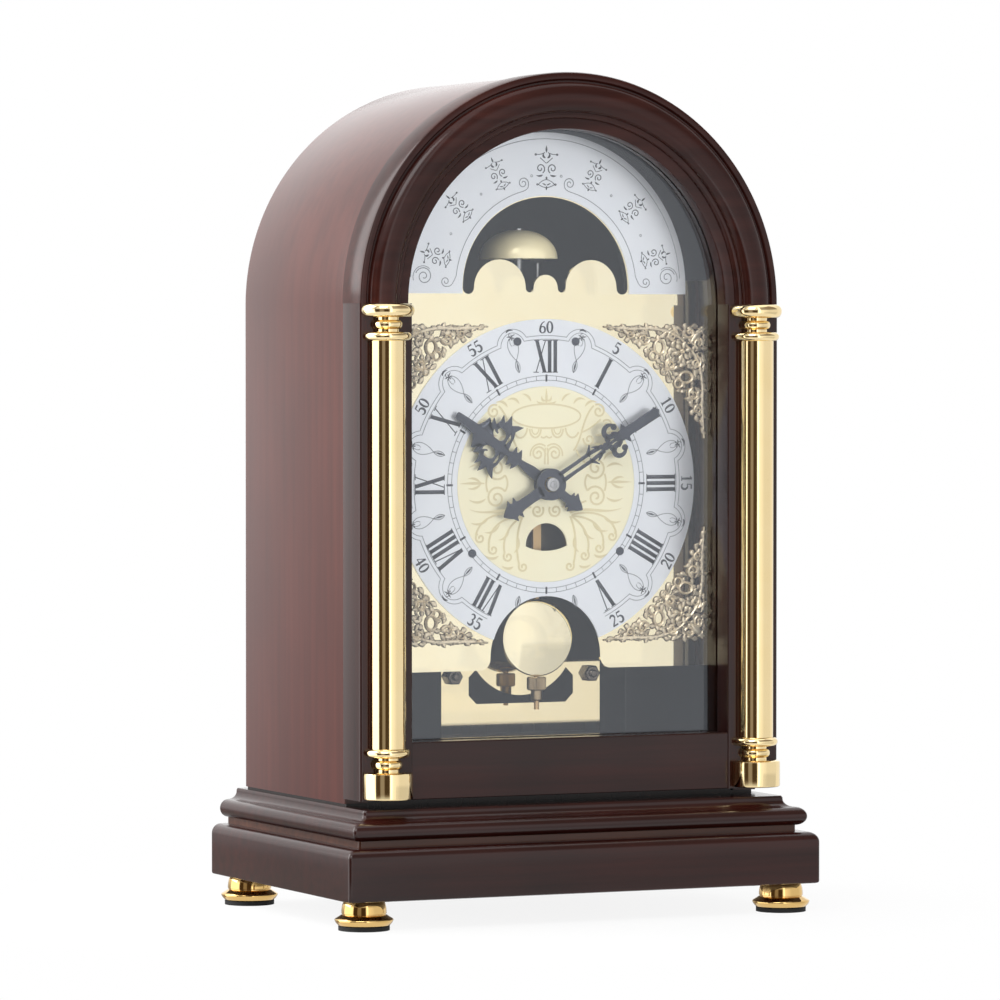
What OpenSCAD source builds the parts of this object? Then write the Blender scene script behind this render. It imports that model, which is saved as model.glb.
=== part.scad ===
// Arched table clock with glazed front door, arch dial, pendulum, bell and a spring driven movement.
// Millimetres. Front faces -Y, up is +Z, the pads stand on Z = 0 and the base is centred on the origin.

/* [Base] */
// Width of the base slab
base_w = 239.5; // [225:0.5:280]
// Depth of the base slab
base_d = 164.4; // [160:0.2:200]
// Height of the base slab
slab_h = 23.9; // [20:0.1:32]
// Rounding of the slab's top edge
slab_round = 4.5; // [1:0.1:7]
// Height of the groove above the slab
groove_h = 3; // [2:0.1:5]
// How far the groove stands back from the slab
groove_inset = 8.4; // [6:0.1:11]
// Height of the moulding's half round
torus_h = 8.4; // [6:0.1:11]
// How far the half round stands back from the slab
torus_inset = 4.2; // [2:0.1:6]
// Height of the moulding's hollow
cove_h = 3.6; // [2.5:0.1:6]
// Height of the moulding's top lip
lip_h = 1.5; // [1:0.1:4]
// How far the top lip stands back from the slab
lip_inset = 12.7; // [11.5:0.1:16]

/* [Feet] */
// Diameter of the foot's sharp rim
foot_rim_d = 26.8; // [24:0.1:30]
// Diameter of the foot's dome
foot_dome_d = 20.6; // [16:0.1:23]
// Height of the turned foot
foot_h = 11.6; // [9:0.1:16]
// Height of the soft pad under the foot
pad_h = 2; // [1:0.1:4]
// Diameter of the soft pad
pad_d = 23.4; // [18:0.1:25]
// Distance of a foot's axis from the slab's side
foot_inset_x = 13.4; // [13.4:0.1:20]
// Distance of a foot's axis from the slab's front and back
foot_inset_y = 14.3; // [13.5:0.1:20]

/* [Case] */
// Height of the arch's spring line above the base
spring_h = 229.5; // [225:0.5:250]
// Thickness of the case wall
case_wall = 12; // [9:0.1:14]
// How far the case stands in from the door's edge
case_step = 1; // [0.3:0.1:3]
// Shadow gap under the case wall
case_gap = 1.3; // [0.8:0.1:3]
// Thickness of the floor board
floor_t = 12; // [9:0.1:15]
// Distance from the back of the base to the back of the case
case_back_inset = 6.6; // [6.2:0.1:12]
// Thickness of the back door
back_door_t = 6; // [4:0.1:9]
// Running gap round the back door
back_gap = 1; // [0.6:0.1:2]

/* [Door] */
// Width of the front door, twice the radius of its arch
door_w = 213; // [208:0.5:216]
// Thickness of the front door
door_t = 19.8; // [18:0.1:24]
// Distance from the front of the base to the front of the door
door_setback = 18.2; // [15:0.1:24]
// Gap between the door and the base
door_gap = 3.8; // [1:0.1:6]
// Gap between the door and the case
seam = 0.4; // [0.3:0.1:1.5]
// Width of the door's frame
frame_w = 26; // [25.2:0.1:28]
// Height of the door's bottom rail
rail_h = 26.2; // [20:0.1:32]
// How far the head's round moulding stands proud
head_rise = 3.2; // [1.5:0.1:5]
// Depth of the glass behind the door's front
glass_depth = 11; // [8:0.1:13]
// Thickness of the glass
glass_t = 3; // [2:0.1:4]
// Width of the rebate that holds the glass
rebate_w = 4; // [3:0.1:6]

/* [Columns] */
// Diameter of a column's shaft
shaft_d = 16.7; // [12:0.1:19]
// Diameter of the capital's top ring
cap_ring_d = 24.6; // [20:0.1:25]
// Height of the capital's top ring
cap_ring_h = 6.3; // [4:0.1:9]
// Diameter of the neck under a ring
neck_d = 13.4; // [10:0.1:16]
// Height of a neck
neck_h = 6.6; // [4:0.1:9]
// Diameter of the ring at each end of the shaft
shaft_ring_d = 22; // [19:0.1:24]
// Height of the ring at each end of the shaft
shaft_ring_h = 4.1; // [3:0.1:6]
// Diameter of the column's drum
drum_d = 23.2; // [20:0.1:25]
// Height of the column's drum
drum_h = 12.4; // [9:0.1:16]
// How far a column's axis stands in front of the stile
column_proud = 2; // [0.5:0.1:4]

/* [Dial] */
// Height of the dial's centre below the spring line
dial_drop = 83.5; // [82:0.1:86]
// Thickness of the dial plate
dial_t = 1.5; // [1:0.1:2.5]
// Outside diameter of the chapter ring
ring_d = 153.4; // [148:0.1:156]
// Diameter of the gilt centre disc
disc_d = 90.8; // [84:0.1:96]
// Thickness of the rings laid on the dial plate
ring_t = 0.8; // [0.5:0.1:1.5]
// Radius of the aperture in the arch
aperture_r = 42.3; // [40:0.1:46]
// Outside radius of the silvered arch
arch_ring_r = 72.2; // [68:0.1:76]
// Radius of a large hump in the aperture
hump_r = 13.2; // [12:0.1:14]
// Radius of the small middle hump
small_hump_r = 6.2; // [5:0.1:7]
// Half width of the pendulum cut-out
cutout_r = 28.2; // [26:0.1:31]
// Thickness of the cast corner ornaments
spandrel_t = 1.6; // [1:0.1:2.5]
// Width of the wooden surround round the dial
surround_w = 8.7; // [7:0.1:9.5]
// Thickness of the wooden surround
surround_t = 8.5; // [7:0.1:11]

/* [Hands] */
// Length of the hour hand
hour_len = 56; // [48:0.5:58]
// Length of the minute hand
minute_len = 65.5; // [60:0.5:72]
// Thickness of a hand
hand_t = 1; // [0.6:0.1:1.4]
// Time shown at rest, in minutes after twelve
shown_minutes = 609.7; // [0:0.1:720]

/* [Movement] */
// Thickness of a movement plate
plate_t = 2; // [1.5:0.1:3]
// Space between the movement plates
plate_space = 31.5; // [31:0.1:36]
// Length of the pillars between dial and movement
dial_pillar_l = 12; // [11.6:0.1:15]
// Radius of a running arbor
arbor_r = 1.5; // [1.2:0.05:1.8]
// Running clearance on a radius
run = 0.05; // [0.02:0.01:0.08]
// Tooth module of the minute wheels
minute_module = 0.75; // [0.7:0.01:0.8]
// Tooth module of the barrel
barrel_module = 0.7; // [0.66:0.01:0.74]
// Tooth module of the fast wheels
fast_module = 0.6; // [0.58:0.01:0.63]
// Extra distance between meshing wheels
mesh_gap = 0.12; // [0.08:0.01:0.2]

/* [Pendulum] */
// Distance from the pendulum's pivot to the bob's centre
pendulum_l = 57.7; // [54:0.1:58]
// Distance of the pendulum's pivot below the hands
pivot_drop = 14; // [13:0.1:15]
// Radius of the bob
bob_r = 18.1; // [15:0.1:18.5]
// Depth of the bob's front dome
bob_front = 3.6; // [2:0.1:6]
// Depth of the bob's back
bob_back = 9; // [5:0.1:10]
// Radius of the rating nut
rating_r = 4.6; // [3.5:0.1:6]

/* [Bell] */
// Radius of the bell
bell_r = 18.4; // [15:0.1:20]
// Height of the bell
bell_h = 13.6; // [10:0.1:16]
// Thickness of the bell
bell_t = 1.2; // [0.8:0.1:1.6]
// Height of the bell's rim above the hands
bell_rise = 105; // [104:0.1:108]

/* [Apron] */
// Half width of the gilt apron plate
apron_half_w = 41; // [39:0.5:50]
// Thickness of the apron plate
apron_t = 1.6; // [1:0.1:2.5]
// Gap between the dial and the apron plate
apron_back = 25.5; // [25:0.1:30]

/* [Hidden] */
$fn = 96;

eps = 0.01;
fit = 0.3;
slip = 0.1;

// Heights
slab_z = pad_h + foot_h;
mould_z = slab_z + slab_h;
base_top = mould_z + groove_h + torus_h + cove_h + lip_h;
wall_z = base_top + case_gap;
floor_z = base_top + floor_t;
spring_z = base_top + spring_h;
door_z = base_top + door_gap;
dial_z = spring_z - dial_drop;
moon_z = spring_z + 7.5;
dial_bottom = dial_z - 86;
cutout_top = dial_z - 52;
pivot_z = dial_z - pivot_drop;
bob_z = pivot_z - pendulum_l;
apron_top = bob_z - 11.8;
apron_nut_z = bob_z - 18.3;
seat_t = 5;
seat_z = dial_z - 50;
plate_bottom = seat_z + seat_t;
plate_top = dial_z + 62;
bell_z = dial_z + bell_rise;

// Depths, from the front to the back
door_front = -base_d / 2 + door_setback;
door_back = door_front + door_t;
case_front = door_back + seam;
case_back = base_d / 2 - case_back_inset;
dial_front = case_front + 1.3 + surround_t;
dial_back = dial_front + dial_t;
ring_front = dial_front - ring_t;
hour_back = ring_front - 2;
hour_front = hour_back - hand_t;
minute_back = hour_front - 2;
minute_front = minute_back - hand_t;
nut_front = minute_front - 2.2;
pendulum_y = dial_back + 8.5;
plate_front = dial_back + dial_pillar_l;
plate_inner = plate_front + plate_t;
plate_rear = plate_inner + plate_space;
movement_back = plate_rear + plate_t;
apron_front = dial_front + apron_back + dial_t;

// Half widths
door_half = door_w / 2;
opening_half = door_half - frame_w;
glass_half = opening_half + rebate_w - fit;
case_half = door_half - case_step;
inner_half = case_half - case_wall;
surround_half = inner_half - fit;
window_half = surround_half - surround_w;
dial_half = surround_half - 2.2;
plate_half = 50;
column_x = door_half - frame_w / 2 + 0.25;
column_y = door_front - column_proud;

// Tooth counts of the movement
cannon_n = 12;
minute_n = 36;
minute_pinion_n = 10;
hour_n = 40;
barrel_n = 72;
centre_pinion_n = 12;
centre_n = 60;
third_pinion_n = 12;
third_n = 48;
escape_pinion_n = 12;
escape_n = 30;
ratchet_n = 24;
hour_module = minute_module * (cannon_n + minute_n) / (minute_pinion_n + hour_n);

// Wheel centres, as points across the dial
centre_p = [0, dial_z];
minute_dir = 0;
minute_p = centre_p + mesh(minute_module, cannon_n, minute_n) * heading(minute_dir);
barrel_dir = 45;
barrel_p = centre_p + mesh(barrel_module, barrel_n, centre_pinion_n) * heading(barrel_dir);
third_dir = 194.4;
third_p = centre_p + mesh(fast_module, centre_n, third_pinion_n) * heading(third_dir);
escape_dir = -65.4;
escape_p = third_p + mesh(fast_module, third_n, escape_pinion_n) * heading(escape_dir);
escape_r = 11;
anchor_p = [0, pivot_z];
hammer_p = [9, dial_z + 56];
ratchet_r = 12;
click_p = barrel_p + [-6, 18];

// Layers inside the movement
escape_y = plate_inner + 2.7;
third_y = plate_inner + 7;
cock_y = plate_inner + 5.5;
strike_y = plate_inner + 9.5;
centre_y = plate_inner + 12.5;
barrel_y = plate_inner + 15.5;
barrel_l = 13;
barrel_r = 22;
barrel_wall = 1.5;
hammer_y = centre_y;
bell_y = plate_inner + 14.5;
minute_wheel_y = dial_back + 4.5;
pipe_r = 2.4;
hour_pipe_r = 3.6;
pillar_r = 3.5;
stud_r = 2;
screw_r = 2;
back_pin = [-inner_half + 0.5, case_back + 2.1];
door_pin = [door_half + 2.7, door_back + seam / 2];
hinge_zs = [door_z + 55, spring_z - 35];

// Clock angle of a hand at rest, turned clockwise from twelve
minute_angle = shown_minutes * 6;
hour_angle = shown_minutes / 2;
hub_r = 7.4;

// Distance between two wheels that mesh
function mesh(m, a, b) = m * (a + b) / 2 + mesh_gap;
// Unit vector at an angle
function heading(a) = [cos(a), sin(a)];
// Points round an arc
function arc(c, rx, ry, a0, a1, n) =
    [for (i = [0:n]) c + [rx * cos(a0 + (a1 - a0) * i / n), ry * sin(a0 + (a1 - a0) * i / n)]];
// One gear tooth as polar points: share of the pitch and height in modules
function tooth(n, m, i) =
    [for (s = [[-0.28, -1.2], [-0.2, 0], [-0.085, 0.8], [0.085, 0.8], [0.2, 0], [0.28, -1.2]])
        (n / 2 + s[1]) * m * heading((i + s[0]) * 360 / n)];
function gear_points(n, m) = [for (i = [0:n - 1], p = tooth(n, m, i)) p];
function saw_points(n, tip, root) =
    [for (i = [0:n - 1], p = [root * heading(i * 360 / n), tip * heading((i + 0.12) * 360 / n)]) p];

// A flat shape across the dial, thick from y0 to y1
module sheet_y(y0, y1) {
    translate([0, y1, 0]) rotate([90, 0, 0]) linear_extrude(y1 - y0) children();
}
// A rod from front to back through point p
module rod_y(p, r, y0, y1) {
    translate([p[0], y1, p[1]]) rotate([90, 0, 0]) cylinder(h = y1 - y0, r = r);
}
module rod_z(x, y, r, z0, z1) {
    translate([x, y, z0]) cylinder(h = z1 - z0, r = r);
}
module box(x0, x1, y0, y1, z0, z1) {
    translate([x0, y0, z0]) cube([x1 - x0, y1 - y0, z1 - z0]);
}
// A flat bar from p to q
module bar(p, q, w) {
    d = q - p;
    translate(p) rotate(atan2(d[1], d[0])) translate([0, -w / 2]) square([norm(d), w]);
}
// A wheel's outline, turned so that a tooth points along a
module gear(n, m, a) {
    rotate(a) polygon(gear_points(n, m));
}
module at(p) {
    translate([p[0], p[1]]) children();
}
// An arched outline: straight sides from z0 to the spring line, then a half circle
module arch_outline(half, z0) {
    translate([-half, z0]) square([2 * half, spring_z - z0]);
    translate([0, spring_z]) intersection() {
        circle(half);
        translate([-half, 0]) square([2 * half, half]);
    }
}
module both_sides() {
    children();
    mirror([1, 0, 0]) children();
}
// A block whose front and sides follow a profile of [inset, height] points, with a flat back
module moulded_block(profile, z0) {
    last = len(profile) - 1;
    right = [for (p = profile) [base_w / 2 - p[0], z0 + p[1]]];
    left = [for (i = [last:-1:0]) [-base_w / 2 + profile[i][0], z0 + profile[i][1]]];
    front = [for (p = profile) [-base_d / 2 + p[0], z0 + p[1]]];
    back = [[base_d / 2, z0 + profile[last][1]], [base_d / 2, z0 + profile[0][1]]];
    intersection() {
        sheet_y(-base_d / 2 - 1, base_d / 2 + 1) polygon(concat(right, left));
        translate([-base_w / 2 - 1, 0, 0]) rotate([90, 0, 90])
            linear_extrude(base_w + 2) polygon(concat(front, back));
    }
}
module at_feet() {
    for (x = [-1, 1], y = [-1, 1])
        translate([x * (base_w / 2 - foot_inset_x), y * (base_d / 2 - foot_inset_y), 0]) children();
}
module at_case_screws() {
    for (x = [-70, 70], y = [-35, 55]) translate([x, y, 0]) children();
}

foot_stud_l = 12;
screw_head_r = 4.5;
screw_head_h = 3;
screw_top = floor_z - 2;

module base_slab() {
    edge = 1;
    profile = concat([[edge, 0], [0, edge]],
                     arc([slab_round, slab_h - slab_round], -slab_round, slab_round, 0, 90, 10));
    color("#3a2a2a") difference() {
        moulded_block(profile, slab_z);
        at_feet() rod_z(0, 0, stud_r + slip, slab_z - 1, slab_z + foot_stud_l + 1);
        at_case_screws() {
            rod_z(0, 0, screw_r + slip, slab_z - 1, mould_z + 1);
            rod_z(0, 0, screw_head_r + slip, slab_z - 1, slab_z + screw_head_h + 1);
        }
    }
}

module base_moulding() {
    bulge = groove_inset - torus_inset;
    cove_z = groove_h + torus_h;
    half_round = [for (i = [1:14]) [groove_inset - bulge * sin(i * 180 / 15),
                                    groove_h + torus_h * (1 - cos(i * 180 / 15)) / 2]];
    hollow = [for (i = [0:8]) [groove_inset + (lip_inset - groove_inset) * sin(i * 90 / 8),
                               cove_z + cove_h * (1 - cos(i * 90 / 8))]];
    profile = concat([[groove_inset, 0], [groove_inset, groove_h]], half_round, hollow,
                     [[lip_inset, cove_z + cove_h + lip_h]]);
    color("#3a2a2a") difference() {
        moulded_block(profile, mould_z);
        at_case_screws() rod_z(0, 0, screw_r + slip, mould_z - 1, base_top + 1);
    }
}

module feet() {
    dome_r = foot_dome_d / 2;
    rim_r = foot_rim_d / 2;
    profile = [[0, 0], [pad_d / 2, 0], [rim_r, foot_h * 0.24], [dome_r + 0.4, foot_h * 0.44],
               [dome_r, foot_h * 0.5], [dome_r, foot_h * 0.62], [dome_r - 0.5, foot_h * 0.8],
               [dome_r - 1.7, foot_h], [stud_r, foot_h], [stud_r, foot_h + foot_stud_l],
               [0, foot_h + foot_stud_l]];
    color("#e6cf8a") at_feet() translate([0, 0, pad_h]) rotate_extrude() polygon(profile);
}

module foot_pads() {
    color("#151515") at_feet() cylinder(h = pad_h, d = pad_d);
}

// Arched wooden tunnel, open at the front and the back
module case_shell() {
    slot_z = latch_p[1];
    color("#4a3434") difference() {
        sheet_y(case_front, case_back) difference() {
            arch_outline(case_half, wall_z);
            arch_outline(inner_half, wall_z - 1);
        }
        rod_y(catch_p, catch_r + slip, case_front - 1, case_front + catch_l + slip);
        box(inner_half - 1, inner_half + latch_reach - latch_inset + 1.5,
            latch_y - 1, latch_y + latch_t + 1, slot_z - 6, slot_z + latch_reach + 1);
    }
}

// Floor board with rebated edges that carry the case wall
module case_floor() {
    step = 1.5;
    color("#2c2020") difference() {
        union() {
            box(-inner_half, inner_half, case_front + step, case_back, base_top, floor_z);
            box(-case_half + step, case_half - step, case_front + step, case_back, base_top, wall_z);
        }
        at_case_screws() rod_z(0, 0, screw_r + slip, base_top - 1, screw_top + slip);
    }
}

module dial_surround() {
    color("#2a1d1c") sheet_y(dial_front - surround_t, dial_front) difference() {
        arch_outline(surround_half, floor_z);
        arch_outline(window_half, floor_z - 1);
    }
}

module case_screws() {
    color("#9a9a9a") at_case_screws() {
        rod_z(0, 0, screw_r, slab_z + screw_head_h, screw_top);
        rod_z(0, 0, screw_head_r, slab_z + 1, slab_z + screw_head_h + 1);
    }
}

latch_reach = 17;
latch_inset = 13;
latch_t = 3;
latch_y = case_back - back_door_t - latch_t - fit;
latch_p = [inner_half - latch_inset, floor_z + 109];
latch_shaft_r = 2.5;

module back_door() {
    door_half_w = inner_half - back_gap;
    color("#4a3434") difference() {
        sheet_y(case_back - back_door_t, case_back) arch_outline(door_half_w, floor_z + back_gap);
        rod_y(latch_p, latch_shaft_r + run, case_back - back_door_t - 1, case_back + 1);
    }
}

// Knob, shaft and tongue of the back door's latch, with the tongue upright
module back_latch() {
    knob_l = case_back_inset - 1.2;
    color("#c9ad63") {
        rod_y(latch_p, latch_shaft_r, latch_y, case_back + fit);
        rod_y(latch_p, 6, case_back + fit, case_back + knob_l);
        sheet_y(latch_y, latch_y + latch_t) at(latch_p) translate([-4, -4]) square([8, latch_reach + 4]);
    }
}

back_knuckle_r = 1.9;
back_hinge_pin_r = 1;
back_hinge_zs = [floor_z + 45, spring_z - 40];

module back_hinge_fixed() {
    color("#c9ad63") for (z = back_hinge_zs) {
        difference() {
            union() {
                box(-case_half + 2, back_pin[0] - 1.4, case_back, case_back + 0.9, z - 18, z + 18);
                for (s = [-1, 1]) {
                    rod_z(back_pin[0], back_pin[1], back_knuckle_r, z + s * 12 - 5.8, z + s * 12 + 5.8);
                    box(back_pin[0] - 2.4, back_pin[0], case_back, case_back + 0.9,
                        z + s * 12 - 5.8, z + s * 12 + 5.8);
                }
            }
            rod_z(back_pin[0], back_pin[1], back_hinge_pin_r + run, z - 20, z + 20);
            box(back_pin[0] - 2.4, back_pin[0] + 3, case_back - 1, case_back + 5, z - 6.1, z + 6.1);
        }
        rod_z(back_pin[0], back_pin[1], back_hinge_pin_r, z - 17.8, z + 17.8);
    }
}

module back_hinge_moving() {
    color("#c9ad63") for (z = back_hinge_zs) difference() {
        union() {
            box(back_pin[0] + 1.4, back_pin[0] + 13, case_back, case_back + 0.9, z - 18, z + 18);
            rod_z(back_pin[0], back_pin[1], back_knuckle_r, z - 5.8, z + 5.8);
            box(back_pin[0], back_pin[0] + 2.4, case_back, case_back + 0.9, z - 5.8, z + 5.8);
        }
        rod_z(back_pin[0], back_pin[1], back_hinge_pin_r + run, z - 20, z + 20);
        for (s = [-1, 1])
            box(back_pin[0] - 3, back_pin[0] + 2.3, case_back - 1, case_back + 5,
                z + s * 12 - 6.1, z + s * 12 + 6.1);
    }
}

// Section of the door's moulded head as [radius, depth behind the front]
function head_section() = concat(
    [[door_half, door_t], [door_half, 1], [door_half - 1, 0], [door_half - 3.4, 0],
     [door_half - 3.9, 1.2], [door_half - 4.7, 1.2]],
    [for (i = [0:14]) [door_half - 11.6 + 6.9 * cos(i * 12.86), 1 - (head_rise + 1) * sin(i * 12.86)]],
    [for (i = [1:6]) [opening_half + 7.5 - 2.7 * sin(i * 15), 1 + 2.2 * (1 - cos(i * 15))]],
    [[opening_half + 0.6, 4], [opening_half, 4.6], [opening_half, glass_depth],
     [opening_half + rebate_w, glass_depth], [opening_half + rebate_w, door_t]]);

module door_arch() {
    color("#3a2a2a") translate([0, door_front, spring_z]) rotate([90, 0, 0])
        rotate_extrude(angle = 180) polygon([for (p = head_section()) [p[0], -p[1]]]);
}

// Right hand stile, with the rebate for the glass along its inner back edge
module stile() {
    edge = 1;
    plan = [[opening_half, edge], [opening_half + edge, 0], [door_half - edge, 0], [door_half, edge],
            [door_half, door_t], [opening_half + rebate_w, door_t],
            [opening_half + rebate_w, glass_depth], [opening_half, glass_depth]];
    color("#3a2a2a") translate([0, door_front, door_z]) linear_extrude(spring_z - door_z) polygon(plan);
}
module door_stile_right() {
    stile();
}
module door_stile_left() {
    mirror([1, 0, 0]) stile();
}

module door_rail() {
    color("#3a2a2a") difference() {
        box(-opening_half, opening_half, door_front + 0.5, door_back, door_z, door_z + rail_h);
        box(-opening_half - 1, opening_half + 1, door_front + glass_depth, door_back + 1,
            door_z + rail_h - rebate_w, door_z + rail_h + 1);
    }
}

glass_z = door_z + rail_h - rebate_w + fit;
bead_t = 3.5;

module door_glass() {
    color("#dfe8ee", 0.3) sheet_y(door_front + glass_depth, door_front + glass_depth + glass_t)
        arch_outline(glass_half, glass_z);
}

// Strip that holds the glass in its rebate
module glass_bead() {
    y = door_front + glass_depth + glass_t;
    color("#2a1d1c") sheet_y(y, y + bead_t) difference() {
        arch_outline(glass_half, glass_z);
        arch_outline(opening_half, glass_z + rebate_w);
    }
}

// Half column with a flat back against its stile: drum, shaft and capital
module column() {
    z0 = door_z + 0.8;
    z1 = z0 + drum_h;
    z2 = z1 + neck_h;
    z3 = z2 + shaft_ring_h;
    z7 = spring_z;
    z6 = z7 - cap_ring_h;
    z5 = z6 - neck_h;
    z4 = z5 - shaft_ring_h;
    foot = concat([[0, z0], [drum_d / 2, z0], [drum_d / 2, z1 - 1], [drum_d / 2 - 1, z1]],
                  neck_points(z1, z2), ring_points(shaft_ring_d / 2 - 0.5, z2, z3), [[0, z3]]);
    head = concat([[0, z4]], ring_points(shaft_ring_d / 2, z4, z5), neck_points(z5, z6),
                  ring_points(cap_ring_d / 2, z6, z7), [[0, z7]]);
    color("#ecd694") intersection() {
        translate([column_x, column_y, 0]) {
            rotate_extrude() polygon(foot);
            rod_z(0, 0, shaft_d / 2, z3, z4);
            rotate_extrude() polygon(head);
        }
        box(column_x - drum_d, column_x + drum_d, column_y - drum_d, door_front, z0, z7);
    }
}
function neck_points(za, zb) = [
    [neck_d / 2 - 0.8, za], [neck_d / 2 - 0.8, za + (zb - za) * 0.25], [neck_d / 2, za + (zb - za) * 0.38],
    [neck_d / 2, za + (zb - za) * 0.62], [neck_d / 2 - 0.8, za + (zb - za) * 0.75], [neck_d / 2 - 0.8, zb]];
function ring_points(r, za, zb) =
    [for (i = [0:8]) [r - 2 + 2 * sin(i * 22.5), za + (zb - za) * (1 - cos(i * 22.5)) / 2]];
module column_right() {
    column();
}
module column_left() {
    mirror([1, 0, 0]) column();
}

knuckle_r = 2.4;
hinge_pin_r = 1.4;
leaf_t = 1.2;

module door_hinge_fixed() {
    color("#c9ad63") for (z = hinge_zs) {
        difference() {
            union() {
                box(case_half, case_half + leaf_t, case_front + 0.3, case_front + 16, z - 18, z + 18);
                for (s = [-1, 1]) {
                    rod_z(door_pin[0], door_pin[1], knuckle_r, z + s * 12 - 5.8, z + s * 12 + 5.8);
                    box(case_half, door_pin[0], case_front + 0.3, door_pin[1] + knuckle_r - 0.2,
                        z + s * 12 - 5.8, z + s * 12 + 5.8);
                }
            }
            rod_z(door_pin[0], door_pin[1], hinge_pin_r + run, z - 20, z + 20);
            box(case_half - 1, door_pin[0] + 5, case_front - 5, door_pin[1] + knuckle_r + fit,
                z - 6.1, z + 6.1);
        }
        rod_z(door_pin[0], door_pin[1], hinge_pin_r, z - 17.8, z + 17.8);
    }
}

module door_hinge_moving() {
    color("#c9ad63") for (z = hinge_zs) difference() {
        union() {
            box(door_half, door_half + leaf_t, door_back - 16, door_back - 0.3, z - 18, z + 18);
            rod_z(door_pin[0], door_pin[1], knuckle_r, z - 5.8, z + 5.8);
            box(door_half, door_pin[0], door_pin[1] - knuckle_r + 0.2, door_back - 0.3, z - 5.8, z + 5.8);
        }
        rod_z(door_pin[0], door_pin[1], hinge_pin_r + run, z - 20, z + 20);
        for (s = [-1, 1])
            box(door_half - 1, door_pin[0] + 5, door_pin[1] - knuckle_r - fit, door_back + 5,
                z + s * 12 - 6.1, z + s * 12 + 6.1);
    }
}

catch_r = 4;
catch_l = 7;
catch_p = [-(case_half + inner_half) / 2, (door_z + spring_z) / 2];
// Magnetic catch set in the front edge of the case
module door_catch() {
    color("#b8b8b8") rod_y(catch_p, catch_r, case_front, case_front + catch_l);
}

ring_screw_r = 1.9;
screw_out = ring_d * 0.4425;
screw_in = disc_d / 2 + 4;
ring_screws = [for (s = [[screw_out, 77.3], [screw_out, 102.7], [screw_in, 219.8], [screw_in, 320.2]])
    centre_p + s[0] * heading(s[1])];
pillars = [[-40, dial_z - 34], [40, dial_z - 34], [-40, dial_z + 46], [40, dial_z + 46]];

// Outline of the opening in the arch, with two large humps and a small one
module aperture() {
    slot = (aperture_r - hump_x - hump_r) / 2;
    gap = (hump_x - hump_r - small_hump_r) / 2;
    right = concat(arc([0, 0], aperture_r, aperture_r, 90, 0, 24),
                   arc([aperture_r - slot, 0], slot, slot, -20, -160, 8),
                   arc([hump_x, 0], hump_r, hump_r, 0, 180, 18),
                   arc([small_hump_r + gap, 0], gap, gap, -20, -160, 8),
                   arc([0, 0], small_hump_r, small_hump_r, 0, 90, 10));
    last = len(right) - 1;
    translate([0, moon_z]) polygon(concat(right, [for (i = [last - 1:-1:1]) [-right[i][0], right[i][1]]]));
}
hump_x = 23.4;

// Outline of the pendulum cut-out, flared at the dial's bottom edge
module cutout() {
    flare = min(6, cutout_top - cutout_r - dial_bottom - 0.5);
    side_x = cutout_r + flare;
    right = concat([[side_x, dial_bottom - 1]],
                   arc([side_x, dial_bottom + flare], -flare, -flare, 80, 4, 6),
                   arc([0, cutout_top - cutout_r], cutout_r, cutout_r, 0, 90, 16));
    last = len(right) - 1;
    polygon(concat(right, [for (i = [last - 1:-1:0]) [-right[i][0], right[i][1]]]));
}

// Half-moon window under the hands
module half_moon() {
    intersection() {
        translate([0, dial_z - 28.7]) circle(10.6);
        translate([0, dial_z - 5]) circle(26);
    }
}

module dial_plate() {
    color("#efe3b8") sheet_y(dial_front, dial_back) difference() {
        arch_outline(dial_half, dial_bottom);
        aperture();
        cutout();
        half_moon();
        at(centre_p) circle(hour_pipe_r + 0.6);
        for (p = ring_screws) at(p) circle(ring_screw_r - 0.7 + slip);
    }
}

module chapter_ring() {
    color("#d9dfe8") sheet_y(ring_front, dial_front) difference() {
        at(centre_p) circle(d = ring_d);
        at(centre_p) circle(d = disc_d + 2 * slip);
        cutout();
        for (p = ring_screws) at(p) circle(ring_screw_r - 0.7 + slip);
    }
}

module centre_disc() {
    color("#f0e7c4") sheet_y(ring_front, dial_front) difference() {
        at(centre_p) circle(d = disc_d);
        at(centre_p) circle(hour_pipe_r + 0.6);
        half_moon();
    }
}

module moon_arch() {
    foot_drop = 2.6;
    color("#d9dfe8") sheet_y(ring_front, dial_front) intersection() {
        translate([0, moon_z]) difference() {
            circle(arch_ring_r);
            circle(aperture_r + 0.5);
        }
        translate([-arch_ring_r, moon_z - foot_drop]) square([2 * arch_ring_r, arch_ring_r + foot_drop]);
    }
}

// Cast corner pieces that fill the space between the ring and the dial's corners
module spandrels() {
    ring_r = ring_d / 2 + 1.6;
    corner_x = window_half - 1.5;
    corner_z = ring_d * 0.65 - 25.71;
    span = ring_d * 0.352;
    color("#b9a878") for (x = [-1, 1], z = [-1, 1]) sheet_y(dial_front - spandrel_t, dial_front)
        difference() {
            translate([x * (corner_x - span / 2), dial_z + z * (corner_z - span / 2)])
                square(span, center = true);
            at(centre_p) circle(ring_r);
            translate([x * (corner_x - span), dial_z + z * corner_z]) circle(5);
            translate([x * corner_x, dial_z + z * (corner_z - span)]) circle(5);
        }
}

module dial_screws() {
    color("#3c3f46") for (p = ring_screws) {
        rod_y(p, ring_screw_r, ring_front - 0.5, ring_front);
        rod_y(p, ring_screw_r - 0.7, ring_front, dial_back - slip);
    }
}

module dial_pillars() {
    color("#c9ad63") for (p = pillars) rod_y(p, pillar_r, dial_back, plate_front);
}

// Closed outline from its right half, listed from the tail up to the point
function mirrored(half) = concat(half, [for (i = [len(half) - 1:-1:0]) [-half[i][0], half[i][1]]]);

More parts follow.
